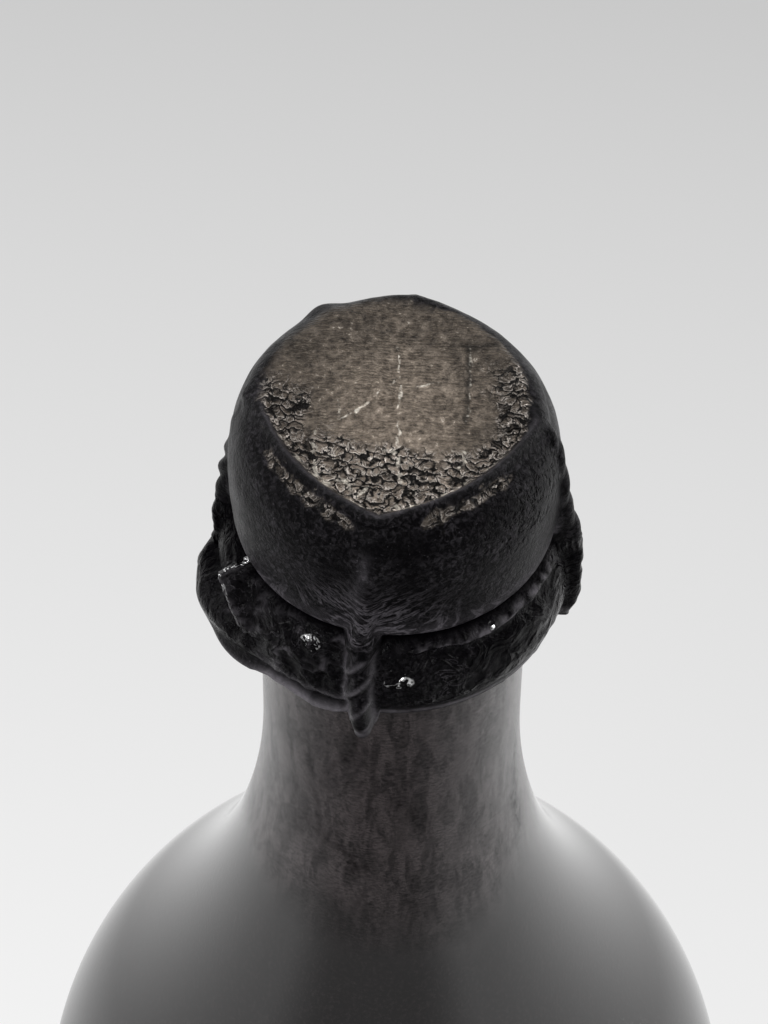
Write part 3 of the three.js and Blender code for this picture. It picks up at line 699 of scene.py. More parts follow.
# Outer face of the capsule from the middle of its top, over the cork head and the finish ring, to its hem
DISC_STEPS = (0.4, 1.4, 2.5, 3.6, 4.7, 5.8, 6.9, 8.0, 9.0, 10.0, 11.0, 11.9, 12.7, 13.4, 14.0)
CAPSULE_PROFILE = [(r, 317.65 - 1.2 * (r / 14.2) ** 2) for r in DISC_STEPS]
CAPSULE_PROFILE += [
    (14.6, 316.3),
    (15.15, 316.0),
    (15.7, 315.5),
    (16.2, 314.8),
    (16.65, 313.8),
    (17.05, 312.5),
    (17.35, 311.0),
    (17.55, 309.3),
    (17.6, 307.5),
    (17.58, 305.8),
    (17.52, 304.1),
    (17.46, 302.6),
    (17.4, 301.4),
    (17.25, 300.6),
    (17.0, 300.1),
    (16.65, 299.8),
    (16.45, 299.4),
    (16.65, 299.0),
    (17.15, 298.6),
    (17.7, 297.7),
    (18.35, 296.5),
    (18.7, 295.2),
    (18.95, 293.7),
    (19.05, 292.1),
    (19.0, 291.0),
    (18.85, 290.0),
    (18.65, 289.3),
    (18.5, 288.8),
    (18.4, 288.4),
    (18.35, 288.1),
    (18.3, 287.8),
]
CREASE_Z = 299.7
HEM_Z = CAPSULE_PROFILE[-1][1]

# Middle of the rope that a leg makes under the film: height and radius
ROPE_LINE = (
    (316.4, 14.6),
    (314.3, 15.75),
    (311.0, 16.45),
    (309.0, 16.9),
    (304.6, 17.95),
    (300.4, 18.4),
    (296.0, 18.85),
    (292.0, 18.9),
    (289.0, 19.05),
    (287.0, 18.85),
    (285.0, 18.1),
)
ROPE_PITCH = 8.0
FILM_STRAND = 0.78
STRAND_APART = 0.42

# Each leg: angle, how far it stands out from that line by height, how much stouter it is below the crease,
# how plainly its twist shows above and below the crease, and how far the film smooths it over above
LEGS = (
    (0.0, ((310, 0.0), (304, -0.2), (299, 0.1), (288, 0.0)), 1.25, 0.1, 0.42, 1.0),
    (90.0, ((310, 0.3), (304, 0.05), (300, 0.4), (294, 0.5), (288, 0.2)), 1.0, 0.3, 0.1, 0.2),
    (180.0, ((310, 0.0), (288, 0.0)), 1.0, 0.2, 0.3, 0.4),
    (-90.0, ((310, -0.1), (288, -0.1)), 1.0, 0.38, 0.2, 0.0),
)
FRONT_SWAY = ((314, 0.0), (307, -0.85), (293, -1.4), (284, -0.8))


def table(x, pairs):
    """Straight-line reading of a table of pairs."""
    ordered = sorted(pairs)
    return np.interp(x, [p[0] for p in ordered], [p[1] for p in ordered])


def soft_rise(gap, softness):
    """gap where it is positive, eased out to nothing where it is negative."""
    return softness * np.logaddexp(0.0, np.clip(gap / softness, -40, 40))


def line_gap(x, y, corners):
    """Distance of each point from a line through some corners."""
    best = np.full(len(x), 1e9)
    for (ax, ay), (bx, by) in zip(corners, corners[1:]):
        share = ((x - ax) * (bx - ax) + (y - ay) * (by - ay)) / ((bx - ax) ** 2 + (by - ay) ** 2)
        share = np.clip(share, 0.0, 1.0)
        best = np.minimum(best, np.hypot(x - ax - share * (bx - ax), y - ay - share * (by - ay)))
    return best


def nearest_line(places, lines):
    """Distance of each place, seen from above, from the nearest of some lines."""
    return np.min([line_gap(places[:, 0], places[:, 1], line) for line in lines], axis=0)


def rope_turn(z, leg):
    """How far a leg's two strands have turned about each other at a height."""
    return -2 * math.pi * z / ROPE_PITCH + math.radians(leg)


def rope_face(aside, z, leg, twist):
    """How far the film over two twisted strands reaches out from their middle, at a distance aside."""
    best = np.full(len(z), -99.0)
    for strand in (0.0, math.pi):
        turn = rope_turn(z, leg) + strand
        across = aside - twist * np.cos(turn)
        inside = np.sqrt(np.maximum(FILM_STRAND**2 - across**2, 0.0))
        beyond = np.maximum(np.abs(across) - FILM_STRAND, 0.0)
        best = np.maximum(best, twist * np.sin(turn) + inside - 2.4 * beyond)
    return best + 0.8 * (STRAND_APART - twist)


def leg_sway(z, leg):
    """How far a leg strays sideways at a height."""
    if leg == 0.0:
        return table(z, FRONT_SWAY)
    return 0.25 * np.sin(2 * math.pi * z / 15.0 + leg)


def crown_radius(angle):
    """The crown wire comes out to a corner at each leg and bows in between; angle in degrees."""
    return 13.05 + 1.55 * (1 - np.abs(np.sin(np.radians(angle) * 2))) ** 1.2


def view_plane(right_mm, away_mm):
    """Place on the disc, given as seen from the camera's side."""
    turn = math.radians(CAMERA_AZIMUTH)
    return (
        right_mm * math.cos(turn) - away_mm * math.sin(turn),
        right_mm * math.sin(turn) + away_mm * math.cos(turn),
    )


def disc_lines(*lines):
    """Lines on the disc through corners that are given as seen from the camera's side."""
    return [[view_plane(*corner) for corner in line] for line in lines]


# Cracks in the disc's foil, two tears and a split, then its pale scratches with the seam first
DISC_CRACKS = disc_lines(
    ((7.3, 8.3), (7.6, 4.2), (7.2, -2.2)),
    ((6.7, 8.2), (8.4, 7.7), (10.2, 8.2)),
    ((-9.1, -2.8), (-9.0, -7.2)),
)
DISC_SCRATCHES = disc_lines(
    ((0.2, 8.0), (0.3, 2.0), (0.2, -5.5)),
    ((-6.0, 0.6), (-6.0, -2.1), (-4.4, -1.2), (-1.2, 1.7), (0.6, 3.8)),
    ((7.5, 8.0), (7.8, 4.0), (7.4, -2.0)),
    ((2.2, 2.3), (4.6, 3.0)),
)

# Thick pale curls of lifted foil near the crown wire
DISC_CURLS = disc_lines(
    ((-1.2, -5.9), (-0.4, -5.9), (0.25, -7.1), (0.43, -9.8)),
    ((-6.5, -9.4), (-4.9, -9.8), (-4.7, -10.9), (-4.0, -11.4), (-2.95, -10.9)),
    ((-8.4, -3.4), (-8.2, -10.2)),
    ((5.9, -5.9), (6.9, -6.0), (7.1, -7.2), (6.3, -8.0)),
    ((-0.1, -12.6), (0.4, -13.4)),
)

# The pull loop's stem shows as a rod that lies aslant: angle and height of its ends
ROD_TOP = (-60.0, 298.6)
ROD_FOOT = (-47.0, 293.2)
ROD_RADIUS = 1.35
ROD_LINE = 18.9
ROD_SLOPE = -0.08

# The lobe of film over the folded pull loop: how far it stands out and its middle height, by angle
LOBE_RISE = ((-106, 0.0), (-98, 1.6), (-88, 2.9), (-72, 3.0), (-60, 2.3), (-48, 1.2), (-38, 0.25), (-30, 0.0))
LOBE_MIDDLE = ((-100, 287.2), (-88, 287.6), (-74, 288.6), (-60, 288.2), (-40, 287.6))
LOBE_HALF = 3.0

# Where the gathered film is drawn into small wet-looking beads that carry painted glints: angle, height
# and half width
BEAD_GLINT_SPOTS = (
    (-60.0, 298.4, 0.7),
    (-22.0, 297.1, 1.0),
    (9.0, 294.2, 1.3),
    (66.0, 297.8, 0.3),
    (43.0, 298.5, 0.25),
)


def rod_frame(angle, z):
    """Distance along the rod from its top, and across it."""
    stem_x = np.radians(turn_between(angle, ROD_TOP[0])) * 18.5
    stem_z = ROD_TOP[1] - z
    run_x = math.radians(ROD_FOOT[0] - ROD_TOP[0]) * 18.5
    run_z = ROD_TOP[1] - ROD_FOOT[1]
    length = math.hypot(run_x, run_z)
    return (stem_x * run_x + stem_z * run_z) / length, (stem_x * run_z - stem_z * run_x) / length, length


def shape_capsule(obj):
    """Draws the film over crown, legs, finish ring and pull loop, and crumples it."""
    places = points_of(obj)
    radius, angle, z = polar(places)
    # Columns are drawn together towards the legs, where the film is most detailed
    angle = angle - 16.0 / math.pi * np.sin(np.radians(4 * angle))
    places[:, 0] = radius * np.sin(np.radians(angle))
    places[:, 1] = -radius * np.cos(np.radians(angle))
    move_points(obj, places)
    normals = normals_of(obj)
    level = places * np.array([1.0, 1.0, 0.0])
    top = ease((z - 315.0) / 1.0)
    low = ease((CREASE_Z - 0.4 - z) / 0.8)

    # Hem, which reaches lower under the legs and the pull loop
    above_hem = z - HEM_Z
    hem = ease((HEM_Z + 3.4 - z) / 3.4)
    dip = 0.45 * grain(level, 7.0, 3.0) + 0.45 * grain(level, 2.0, 4.0, 3)
    for leg, *_ in LEGS:
        aside = np.abs(np.radians(turn_between(angle, leg)) * 19.0 - leg_sway(HEM_Z - 2.5, leg))
        tongue = np.sqrt(np.clip(1.0 - (aside / 1.75) ** 2, 0.0, 1.0))
        dip = np.maximum(dip, 3.3 * tongue)
    dip += 2.6 * hump(turn_between(angle, -66.0), 24.0) + 1.5 * hump(turn_between(angle, -18.0), 11.0)
    z = z - hem * dip

    # The film hugs the finish ring closer on the right, and stands off at the back left of the head
    rise = -1.0 * hump(turn_between(angle, 52.0), 30.0) * ease((298.0 - z) / 2.5)
    rise -= 0.9 * hump(turn_between(angle, 46.0), 26.0) * ease((291.0 - z) / 2.5)
    rise += 0.55 * hump(turn_between(angle, -128.0), 42.0) * ease((z - 301.0) / 5.0)
    hug = rise.copy()

    # Legs, as ropes under the film
    crest = np.zeros(len(z))
    for leg, out, stout, above, below, soft in LEGS:
        aside = np.radians(turn_between(angle, leg)) * np.maximum(radius, 6.0) - leg_sway(z, leg)
        shown = below + (above - below) * ease((z - 298.0) / 6.0)
        shown = shown * ease((z - 288.5) / 3.5)
        width = 1.0 + (stout - 1.0) * ease((303.0 - z) / 4.0)
        face = rope_face(aside / width, z, leg, shown)
        reach = table(z, ROPE_LINE) + table(z, out) + width * face
        if leg == 0.0:
            front_aside = aside
        softness = 0.16 + 0.3 * soft * ease((z - 300.0) / 6.0)
        here = soft_rise(reach - radius - hug, softness) * (np.abs(aside) < 7.0) * (1 - top)
        covered = soft * ease((z - 300.5) / 5.0)
        here = here * (1 - covered) + covered * 0.7 * hump(aside, 1.7) * (1 - top)
        rise = np.maximum(rise, hug + here)
        crest = np.maximum(crest, hump(aside, 1.4) * (1 - top))

    turns = (z - 1.3 * front_aside) / 4.2
    strand = hump((turns - np.round(turns)) * 4.2, 0.45) * (np.abs(front_aside) < 1.5)
    strand = np.maximum(strand, hump(np.abs(front_aside) - 1.4, 0.3)) * ease((z - 285.5) / 1.0)
    front_crest = hump(front_aside, 2.0) * (1 - top)

    # Folded pull loop: a round lobe at the hem, and the end of its stem above
    lobe_middle = table(angle, LOBE_MIDDLE)
    lobe = np.clip(1.0 - ((z - lobe_middle) / LOBE_HALF) ** 2, 0.0, 1.0) ** 0.5
    lobe = table(angle, LOBE_RISE) * np.where(z < lobe_middle, np.maximum(lobe, 0.75), lobe)
    rise = np.maximum(rise, lobe)
    along, across, length = rod_frame(angle, z)
    within = ease((along + 0.15) / 0.3) * ease((length + 0.6 - along) / 1.2)
    stem = ROD_LINE + ROD_SLOPE * along + np.sqrt(np.maximum(ROD_RADIUS**2 - across**2, 0.0))
    stem = stem - 2.2 * np.maximum(np.abs(across) - ROD_RADIUS, 0.0)
    rise = np.maximum(rise, soft_rise(stem - radius, 0.12) * within)

    # Folds and crumples
    right_front = ease((angle - 6) / 8) * ease((84 - angle) / 10)
    fold_z = 298.3 + 0.3 * grain(places, 4.0, 12.0, 2)
    rise += right_front * (0.6 * hump(z - fold_z, 0.6) - 0.3 * hump(z - fold_z + 1.3, 0.8))
    drawn = hump(np.radians(turn_between(angle, -2.0)) * 17.5, 7.5)
    drawn = drawn * ease((z - CREASE_Z) / 1.5) * ease((311.0 - z) / 7.0)
    slope = 0.62 * ease((z - 299.0) / 8.0)
    wrinkle_height = z - slope * np.abs(np.radians(turn_between(angle, -2.0)) * 17.5)
    slant = np.stack([places[:, 0] * 0.25, places[:, 1] * 0.25, wrinkle_height], 1)
    lines = grain(slant, 0.8, 13.0, 2)
    rise += 0.16 * drawn * lines
    gathered = low * ease((above_hem - 1.2) / 1.2)
    left_front = ease((-angle - 2) / 10) * ease((angle + 75) / 20)
    crumple = 1.0 - 2.0 * np.abs(grain(places, 2.6, 1.0, 2))
    fine = grain(places, 1.2, 2.0)
    crumple *= 1.0 - 0.75 * np.clip(lobe / 1.2, 0.0, 1.0)
    rise += gathered * (0.14 + 0.2 * left_front) * crumple + (0.02 + 0.05 * gathered) * fine
    rise += (1 - low) * 0.06 * grain(places, 3.5, 14.0, 2)
    rise += 0.7 * hump(turn_between(angle, -143.0), 6.5) * hump(z - 315.4, 1.3)
    rolled = hump(above_hem - 0.6, 0.4) - 1.1 * hump(above_hem - 1.7, 0.5)
    rise += (0.02 + 0.4 * left_front) * rolled * (1 - crest)

    # Crown wire's ridge and the cracked foil of the disc
    off = radius - crown_radius(angle)
    facing = ease((104.0 - np.abs(turn_between(angle, 4.0))) / 34.0)
    flank = np.where(off < 0, 0.6 + 2.7 * (1 - facing), 0.68 + 1.0 * (1 - facing))
    bead = hump(off, flank)
    inside = ease((1.2 - off) / 1.0)
    crescent = np.hypot(0.85 * places[:, 0], places[:, 1] - 3.0) + 2.6 * grain(level, 4.0, 6.0, 3)
    front = ease((crescent - 8.4) / 3.6) * ease((3.0 - places[:, 1]) / 5.0)
    side = ease((radius - 9.0 + 2.6 * grain(level, 4.0, 7.0, 3)) / 2.6)
    side = side * ease((120.0 - np.abs(turn_between(angle, 14.0))) / 24.0)
    crackled = np.clip(front + 0.9 * side, 0.0, 1.0) * inside
    left_patch = hump(off - 1.35, 0.65) * ease((1.0 - np.abs(turn_between(angle, -35.0)) / 34.0) / 0.5)
    right_patch = hump(off - 1.25, 0.6) * ease((1.0 - np.abs(turn_between(angle, 39.0)) / 31.0) / 0.5)
    patch = np.maximum(left_patch, right_patch)
    crackled = np.maximum(crackled, patch)
    wander = level.copy()
    wander[:, 0] += 0.3 * grain(level, 1.2, 41.0, 2)
    wander[:, 1] += 0.3 * grain(level, 1.2, 42.0, 2)
    crack = hump(nearest_line(wander, DISC_CRACKS), 0.27)
    scratch = nearest_line(wander, DISC_SCRATCHES)
    curled = nearest_line(wander, DISC_CURLS)
    lip_line = np.abs(off + 0.8 + 0.3 * grain(level, 1.2, 43.0, 2)) + 0.35 * grain(level, 1.6, 45.0, 2)
    lip_line = np.maximum(lip_line, 0.0) + 3.0 * (1 - facing)
    scratch = np.min([scratch, curled / 1.7, lip_line], axis=0)
    on_disc = ease((16.2 - radius) / 0.8) * (z > 311.5)
    lumps = grain(level, 1.1, 21.0, 3)
    lift = (0.97 + 0.25 * facing) * bead + 0.16 * crackled * lumps * (1 - bead * facing)
    lift += 0.03 * grain(level, 1.6, 15.0, 2) - 0.12 * crack
    rise = rise + lift * on_disc
    blend = ease((z - 308.0) / 6.0)[:, None]
    outward = np.stack([np.sin(np.radians(angle)), -np.cos(np.radians(angle)), 0 * z], 1)
    direction = outward * (1 - blend) + normals * blend
    direction /= np.linalg.norm(direction, axis=1)[:, None]
    move_points(obj, np.stack([places[:, 0], places[:, 1], z], 1) + direction * rise[:, None])

    # What the material reads
    ragged = grain(level, 2.4, 16.0, 3)
    border = 14.45 - 0.45 * ease(angle / 60.0) + 0.5 * ragged
    printed = ease((border - radius) / np.where(np.abs(turn_between(angle, -120.0)) < 70.0, 1.6, 0.5))
    black_bead = ease((hump(off, 0.72) * facing - 0.4 + 0.25 * grain(level, 0.8, 17.0, 2)) / 0.2)
    printed = printed * (1 - black_bead) * ease((0.6 - off * facing) / 0.2)
    patched = 0.85 * ease((patch - 0.45 + 0.45 * grain(level, 1.1, 18.0, 3)) / 0.3)
    paint(obj, "bronze", np.maximum(printed, patched) * on_disc)
    paint(obj, "crackled", crackled)
    paint(obj, "crack", crack)
    paint(obj, "scratch", np.clip(1.0 - scratch / 0.5, 0.0, 1.0))
    # The print darkens towards the disc's edge and sides, and in its crescents
    edge_dark = ease((radius - 2.0) / 10.0) * (0.1 + 0.75 * ease((np.abs(angle) - 30.0) / 50.0))
    darkened = np.maximum(edge_dark, 0.95 * ease(patch / 0.4)) + 0.25 * ragged * (radius > 6)
    paint(obj, "darkened", np.clip(darkened, 0.0, 1.0))
    # Painted sheen and painted highlights that lighten the film: a band along the head's lower edge, the
    # hem's lip, the bead's crest, the rod's edge and face, the fold line, the left lips, the front leg's lit
    # flank, the rope's strands and the crests of crumples
    rim = ease((304.0 - z) / 3.5) * ease((z - CREASE_Z - 0.3) / 0.4) * ease((0.8 - rise) / 0.5)
    lip = hump(above_hem - 0.5, 0.4)
    ridge = hump(off + 0.25, 0.25) * facing * on_disc
    round_bead = hump(off - 0.05, 0.5) * facing * on_disc
    rod_edge = hump(across + 1.0, 0.5) * within * ease(0.4 + 1.6 * grain(places, 0.6, 48.0, 2))
    fold_line = right_front * hump(z - fold_z, 0.45) * ease(0.5 + 1.2 * grain(places, 1.2, 44.0, 2))
    two_lips = hump(above_hem - 0.7, 0.5) + 0.7 * hump(above_hem - 2.7, 0.5)
    left_lips = left_front * ease((angle + 46.0) / 10.0) * two_lips
    lit_flank = hump(front_aside + 0.8, 0.7) * ease((z - 302.0) / 3.0) * ease((314.5 - z) / 2.0)
    painted_sheen = 0.5 * rim + 1.5 * strand * low + 1.3 * lip + 0.6 * ridge + 1.8 * rod_edge
    painted_sheen += 2.4 * fold_line + 1.8 * left_lips + 0.4 * lit_flank
    rod_face = within * hump(across - 0.1, 0.8) * ease(0.4 + 1.6 * grain(places, 0.7, 46.0, 2))
    # Painted highlights on the crests of crumples at the left front
    painted_crest_highlights = left_front * gathered * ease((crumple - 0.6) / 0.3)
    painted_crest_highlights = painted_crest_highlights * ease(0.3 + 1.5 * grain(places, 1.8, 47.0, 2))
    painted_sheen += 2.2 * rod_face + 1.6 * painted_crest_highlights
    polished = 0.35 * ridge + 0.2 * round_bead + 0.4 * strand * low + 0.4 * lip
    polished += 0.5 * fold_line + 0.2 * rod_edge + 0.6 * left_lips
    paint(obj, "polished", np.clip(polished, 0.0, 1.0))
    paint(obj, "painted_sheen", np.clip(painted_sheen, 0.0, 2.4))
    paint(obj, "drawn", np.clip(drawn + 0.7 * rim, 0.0, 1.0))
    paint(obj, "wrinkle_height", wrinkle_height * MM)
    rod_mask = within * ease((1.9 - np.abs(across)) / 0.4)
    # Painted shade: the crease under the head, a dark gap left of the rod, and the film low on the right and
    # low beside the left leg
    left_gap = hump(turn_between(angle, -74.0), 13.0) * hump(z - 297.0, 3.2) * (1 - rod_mask)
    painted_shade = hump(z - CREASE_Z + 0.35, 0.65) * ease((1.2 - rise) / 0.8) * (1 - fold_line)
    right_low = ease((angle - 20.0) / 25.0) * ease((112.0 - angle) / 10.0) * ease((297.4 - z) / 0.8)
    left_leg_low = hump(turn_between(angle, -92.0), 16.0) * ease((297.0 - z) / 3.0) * ease((z - 288.5) / 2.0)
    painted_shade = painted_shade + 2.0 * left_gap + 0.45 * right_low * (1 - lip) + 1.5 * left_leg_low
    paint(obj, "painted_shade", np.clip(painted_shade, 0.0, 1.0))
    # Beads that carry painted glints, at the listed spots and along the rod
    spots = []
    for spot_angle, spot_z, half in BEAD_GLINT_SPOTS:
        aside = np.radians(turn_between(angle, spot_angle)) * 18.5
        spots.append(hump(aside, half) * hump(z - spot_z, min(half, 0.7)))
    spots.append(0.36 * hump(across - 0.2, 0.7) * within * (0.5 + 0.5 * hump(along - 1.0, 2.0)))
    paint(obj, "beads_and_painted_glints", ease(np.max(spots, axis=0) / 0.7))
    paint(obj, "pitted", hump(turn_between(angle, 66.0), 20.0) * hump(z - 312.5, 2.6))
    wet = gathered * np.clip(0.85 + 0.5 * grain(places, 2.6, 5.0, 2), 0.0, 1.0)
    wet *= 1 - 0.9 * np.maximum(np.maximum(front_crest, fold_line), np.clip(left_lips, 0.0, 1.0))
    paint(obj, "gathered", np.maximum(wet, 0.8 * rod_mask))


def split_off(obj, name, chosen):
    """Parts the faces that chosen() picks by radius, angle and height, as a new object."""
    only(obj)
    bpy.ops.object.mode_set(mode="EDIT")
    bpy.ops.mesh.select_mode(type="FACE")
    bpy.ops.mesh.select_all(action="DESELECT")
    bpy.ops.object.mode_set(mode="OBJECT")
    centres = np.empty(len(obj.data.polygons) * 3)
    obj.data.polygons.foreach_get("center", centres)
    radius, angle, z = polar(centres.reshape(-1, 3) / MM)
    obj.data.polygons.foreach_set("select", chosen(radius, angle, z))
    bpy.ops.object.mode_set(mode="EDIT")
    bpy.ops.mesh.separate(type="SELECTED")
    bpy.ops.object.mode_set(mode="OBJECT")
    part = next(o for o in bpy.context.selected_objects if o is not obj)
    part.name = name
    return part


def make_capsule(material):
    """The foil capsule, shrunk on as one skin, then parted into disc, skirt and the tab over the loop."""
    skirt = turned("capsule_film", CAPSULE_PROFILE, 100, fill_first=True)
    apply_modifier(skirt, "SUBSURF", levels=2, render_levels=2)
    shape_capsule(skirt)
    disc = split_off(skirt, "capsule_top_foil", lambda r, a, z: (r < 15.1) & (z > 312.0))
    tab = split_off(
        skirt,
        "loop_tab_film",
        lambda r, a, z: (np.abs(turn_between(a, LOOP_ANGLE)) < FLAP_HALF_ANGLE) & (z < FLAP_TOP),
    )
    for piece, body, cad, slot in (
        (disc, "capsule", "capsule_disc", "bronze_foil"),
        (skirt, "capsule", "capsule_skirt", "black_foil"),
        (tab, "loop", "foil_flap", "black_foil"),
    ):
        apply_modifier(piece, "SOLIDIFY", thickness=FILM_THICKNESS * MM, offset=-1.0)
        shade(piece, 80)
        dress(piece, material, body, [cad])


# Wires, cap and cork under the capsule


def bent_wire(name, lines, radius):
    """Round wires along lines of places in millimetres, drawn as curves and turned into one mesh."""
    curve = bpy.data.curves.new(name, "CURVE")
    curve.dimensions = "3D"
    curve.bevel_depth = radius * MM
    curve.bevel_resolution = 2
    curve.use_fill_caps = True
    for places, closed in lines:
        spline = curve.splines.new("POLY")
        spline.points.add(len(places) - 1)
        spline.points.foreach_set("co", np.c_[np.asarray(places) * MM, np.ones(len(places))].ravel())
        spline.use_cyclic_u = closed
    obj = bpy.data.objects.new(name, curve)
    bpy.context.scene.collection.objects.link(obj)
    only(obj)
    bpy.ops.object.convert(target="MESH")
    shade(bpy.context.object, 60)
    return bpy.context.object


def ring_point(radius, angle, z):
    """Place from radius, angle from the front in degrees, and height."""
    turn = np.radians(angle)
    return np.stack(np.broadcast_arrays(radius * np.sin(turn), -radius * np.cos(turn), z), -1)


def make_cage(material):
    """Crown, four twisted legs with an eye each, belt and pull loop of the wire cage."""
    round_angles = np.linspace(-180, 180, 240, endpoint=False)
    crown = crown_radius(round_angles)
    lines = [(ring_point(crown, round_angles, CAP_TOP + 0.6 - 1.2 * (crown / 14.2) ** 2), True)]
    for leg, out, *_ in LEGS:
        heights = np.linspace(316.4, 289.6, 110)
        sunk = 0.18 + 0.4 * (leg == 0.0) * ease((heights - 298.5) / 2.0)
        middle = table(heights, ROPE_LINE) + table(heights, out) - sunk
        for strand in (0.0, math.pi):
            turn = rope_turn(heights, leg) + strand
            aside = leg_sway(heights, leg) + 0.42 * np.cos(turn)
            reach = middle + 0.42 * np.sin(turn)
            lines.append((ring_point(reach, leg + np.degrees(aside / middle), heights), False))
        eye = np.radians(np.linspace(0, 360, 28, endpoint=False))
        eye_angle = leg + math.degrees(leg_sway(289.0, leg) / 18.5)
        eye_radius = 17.75 + table(289.0, out) + 1.5 * np.cos(eye)
        lines.append((ring_point(eye_radius, eye_angle, 288.3 + 1.2 * np.sin(eye)), True))
    cage = bent_wire("cage_crown_and_legs", lines, 0.45)
    dress(cage, material, "cage", ["cage_wire"])

    belt_angles = np.linspace(LOOP_ANGLE + 3, LOOP_ANGLE + 357, 200)
    lifted = hump(turn_between(belt_angles, LOOP_ANGLE), 24.0)
    belt_line = ring_point(15.9 - 0.55 * lifted, belt_angles, 288.0 + 1.1 * lifted)
    belt = bent_wire("cage_belt", [(belt_line, False)], 0.5)
    dress(belt, material, "cage", ["belt_wire"])

    share = np.linspace(0, 1, 90)
    strands = []
    for strand in (0.0, math.pi):
        down = ROD_TOP[1] - 0.9 - share * (ROD_TOP[1] - 0.9 - 288.2)
        run = (ROD_FOOT[0] - ROD_TOP[0]) / (ROD_TOP[1] - ROD_FOOT[1])
        angle = np.maximum(ROD_TOP[0] + run * (ROD_TOP[1] - down), ROD_TOP[0])
        angle = np.where(down < 293.5, table(down, ((293.5, ROD_TOP[0] + run * 4.8), (288.2, -60.0))), angle)
        open_eye = 0.3 + 0.45 * hump(share - 0.12, 0.12)
        open_eye = open_eye * ease(share / 0.05)
        turn = strand + 2 * math.pi * 2.2 * np.maximum(share - 0.3, 0.0)
        middle = np.interp(down, [288.2, 290.0, 294.0, 297.4], [17.6, 18.5, 18.45, 18.2])
        reach = middle + open_eye * np.sin(turn)
        strands.append(ring_point(reach, angle + np.degrees(open_eye * np.cos(turn) / middle), down))
    loop_line = np.concatenate([strands[0][::-1], strands[1][1:]])
    loop = bent_wire("cage_pull_loop", [(loop_line, False)], 0.45)
    dress(loop, material, "loop", ["pull_loop"])


def make_cap(material):
    """The pressed cap on the cork: a low dome, its edge turned down."""
    sheet = 0.5
    top = [(r, CAP_TOP - 1.2 * (r / 14.2) ** 2) for r in np.linspace(0.3, 13.4, 12)]
    edge = [(13.9, CAP_TOP - 1.3), (14.15, CAP_TOP - 1.6), (14.2, CAP_TOP - 2.0), (14.2, CAP_TOP - 3.5)]
    under = [(13.7, CAP_TOP - 3.5), (13.7, CAP_TOP - 2.1), (13.4, CAP_TOP - 1.7)]
    under += [(r, CAP_TOP - sheet - 1.2 * (r / 14.2) ** 2) for r in np.linspace(13.0, 0.3, 12)]
    cap = turned("pressed_cap", top + edge + under, 128, fill_first=True, fill_last=True)
    shade(cap, 40)
    dress(cap, material, "cage", ["metal_cap"])


def make_cork(body_material, disc_material):
    """The cork: an agglomerated body with its mushroom head, and two natural discs at its foot."""
    shank = BORE_RADIUS - 0.3
    bottom = LIP_Z - 25.0
    profile = [(0.3, bottom + 12.2), (shank - 0.3, bottom + 12.2)]
    profile += [(shank, bottom + 12.5), (shank, LIP_Z + 0.3)]
    for share in np.linspace(0, 1, 9):
        profile.append((CORK_BELLY - 1.1 * (1 - share) ** 2, LIP_Z + 0.3 + share * CORK_BELLY_RISE))
    for share in np.linspace(0.1, 1, 9):
        rise = math.sin(share * math.pi / 2)
        radius = 14.2 + (CORK_BELLY - 14.2) * math.sqrt(1 - min(rise, 1.0) ** 2.6)
        profile.append((radius, LIP_Z + 0.3 + CORK_BELLY_RISE + rise * (CORK_SEAT_RISE - CORK_BELLY_RISE)))
    profile += [(13.4, LIP_Z + 0.3 + CORK_SEAT_RISE), (13.4, CORK_TOP - 0.2)]
    profile += [(13.2, CORK_TOP), (0.3, CORK_TOP)]
    cork = turned("cork_with_head", profile, 128, fill_first=True, fill_last=True)
    places = points_of(cork)
    radius, angle, z = polar(places)
    depth = np.zeros(len(z))
    for leg, out, *_ in LEGS:
        aside = np.radians(turn_between(angle, leg)) * radius - leg_sway(z, leg)
        groove = table(z, ROPE_LINE) + table(z, out) - 0.18 - np.sqrt(np.maximum(1.15**2 - aside**2, 0.0))
        depth = np.maximum(depth, (radius - groove) * (np.abs(aside) < 1.15) * (z > 302) * (radius > 10))
    depth = np.clip(depth, 0.0, 2.0)
    places[:, :2] *= (1 - depth / np.maximum(radius, 1.0))[:, None]
    move_points(cork, places)
    shade(cork, 50)
    dress(cork, body_material, "cork", ["cork_body"])
    for name, node_name, low in (
        ("cork_foot_disc", "cork_disc_lower", bottom),
        ("cork_second_disc", "cork_disc_upper", bottom + 6.1),
    ):
        rim = [(0.3, low), (shank - 0.3, low), (shank, low + 0.3)]
        rim += [(shank, low + 5.7), (shank - 0.3, low + 6.0), (0.3, low + 6.0)]
        disc = turned(name, rim, 96, fill_first=True, fill_last=True)
        shade(disc, 40)
        dress(disc, disc_material, "cork", [node_name])


glass = bottle_glass()
film = capsule_foil()
wire = steel_wire()

make_bottle(glass)
make_capsule(film)
make_cage(wire)
make_cap(cap_tinplate())
make_cork(agglomerate_cork(), natural_cork())


# Floor, light and camera

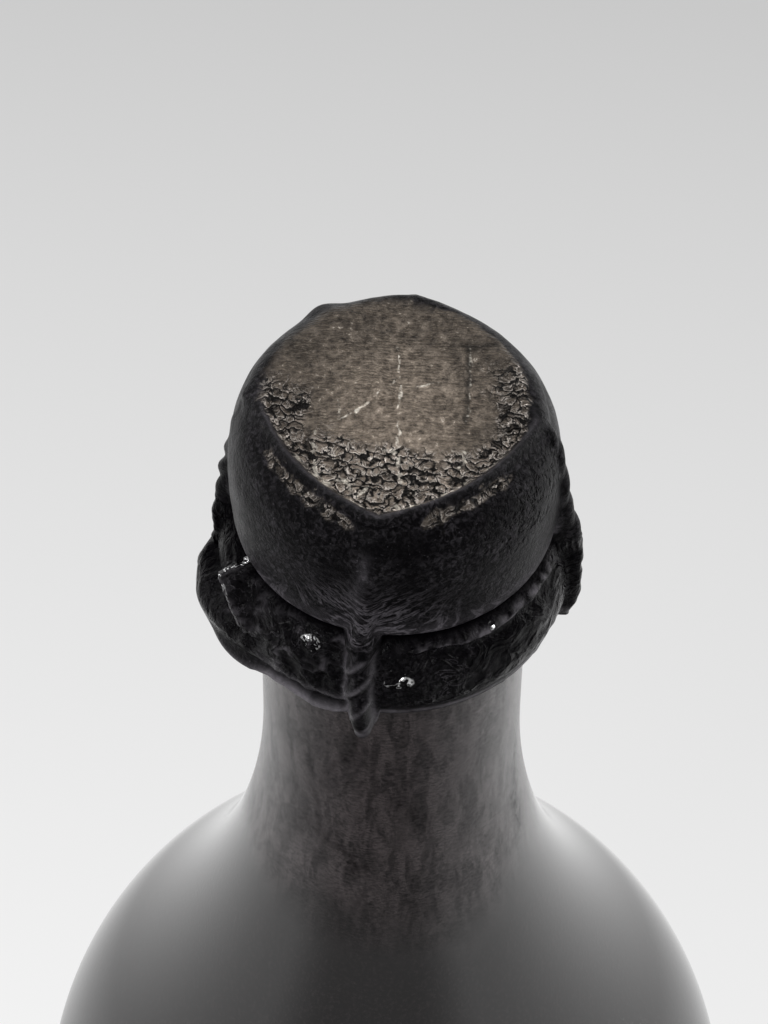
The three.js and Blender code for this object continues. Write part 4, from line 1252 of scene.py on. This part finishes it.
deselect()
bpy.ops.mesh.primitive_circle_add(vertices=96, radius=6.0, fill_type="NGON", location=(0, 0, 0))
floor = bpy.context.object
floor.name = "floor"
floor.data.materials.append(floor_paper())

world = bpy.data.worlds.new("studio")
bpy.context.scene.world = world
world.use_nodes = True
world.node_tree.nodes.clear()
sky = node(world.node_tree, "Background", {"Color": (1, 1, 1, 1), "Strength": 0.35})
node(world.node_tree, "OutputWorld", {"Surface": sky})


def softbox(name, place, aim, size, power):
    """A square area lamp that faces a point; metres and watts."""
    bpy.ops.object.light_add(type="AREA", location=place)
    lamp = bpy.context.object
    lamp.name = name
    lamp.data.size = size
    lamp.data.energy = power
    lamp.rotation_mode = "QUATERNION"
    lamp.rotation_quaternion = (Vector(aim) - Vector(place)).to_track_quat("-Z", "Y")


softbox("softbox_left", (-1.1, 0.2, 0.9), (0, 0, 0.29), 0.7, 5)
softbox("softbox_right", (1.1, 0.3, 0.9), (0, 0, 0.29), 0.7, 5)
softbox("softbox_above", (-0.08, 0.7, 1.2), (0, 0, 0.31), 0.5, 3.4)
softbox("key_lamp", (-0.27, -0.57, 0.79), (0, 0, 0.3), 0.14, 1.7)
softbox("low_softbox_right", (0.75, 0.45, 0.12), (0, 0, 0.2), 0.5, 1.6)

azimuth, elevation = math.radians(CAMERA_AZIMUTH), math.radians(CAMERA_ELEVATION)
back = Vector(
    (
        math.sin(azimuth) * math.cos(elevation),
        -math.cos(azimuth) * math.cos(elevation),
        math.sin(elevation),
    )
)
right = Vector((math.cos(azimuth), math.sin(azimuth), 0))
camera = bpy.data.objects.new("camera", bpy.data.cameras.new("camera"))
bpy.context.scene.collection.objects.link(camera)
camera.location = Vector((0, 0, AIM_Z * MM)) + back * CAMERA_DISTANCE * MM + right * CAMERA_SIDESTEP * MM
camera.rotation_mode = "QUATERNION"
level = (-back).to_track_quat("-Z", "Y")
camera.rotation_quaternion = Quaternion(-back, math.radians(CAMERA_ROLL)) @ level
camera.data.lens = CAMERA_LENS
camera.data.sensor_width = 36.0
bpy.context.scene.camera = camera

bpy.context.scene.view_settings.view_transform = "Standard"
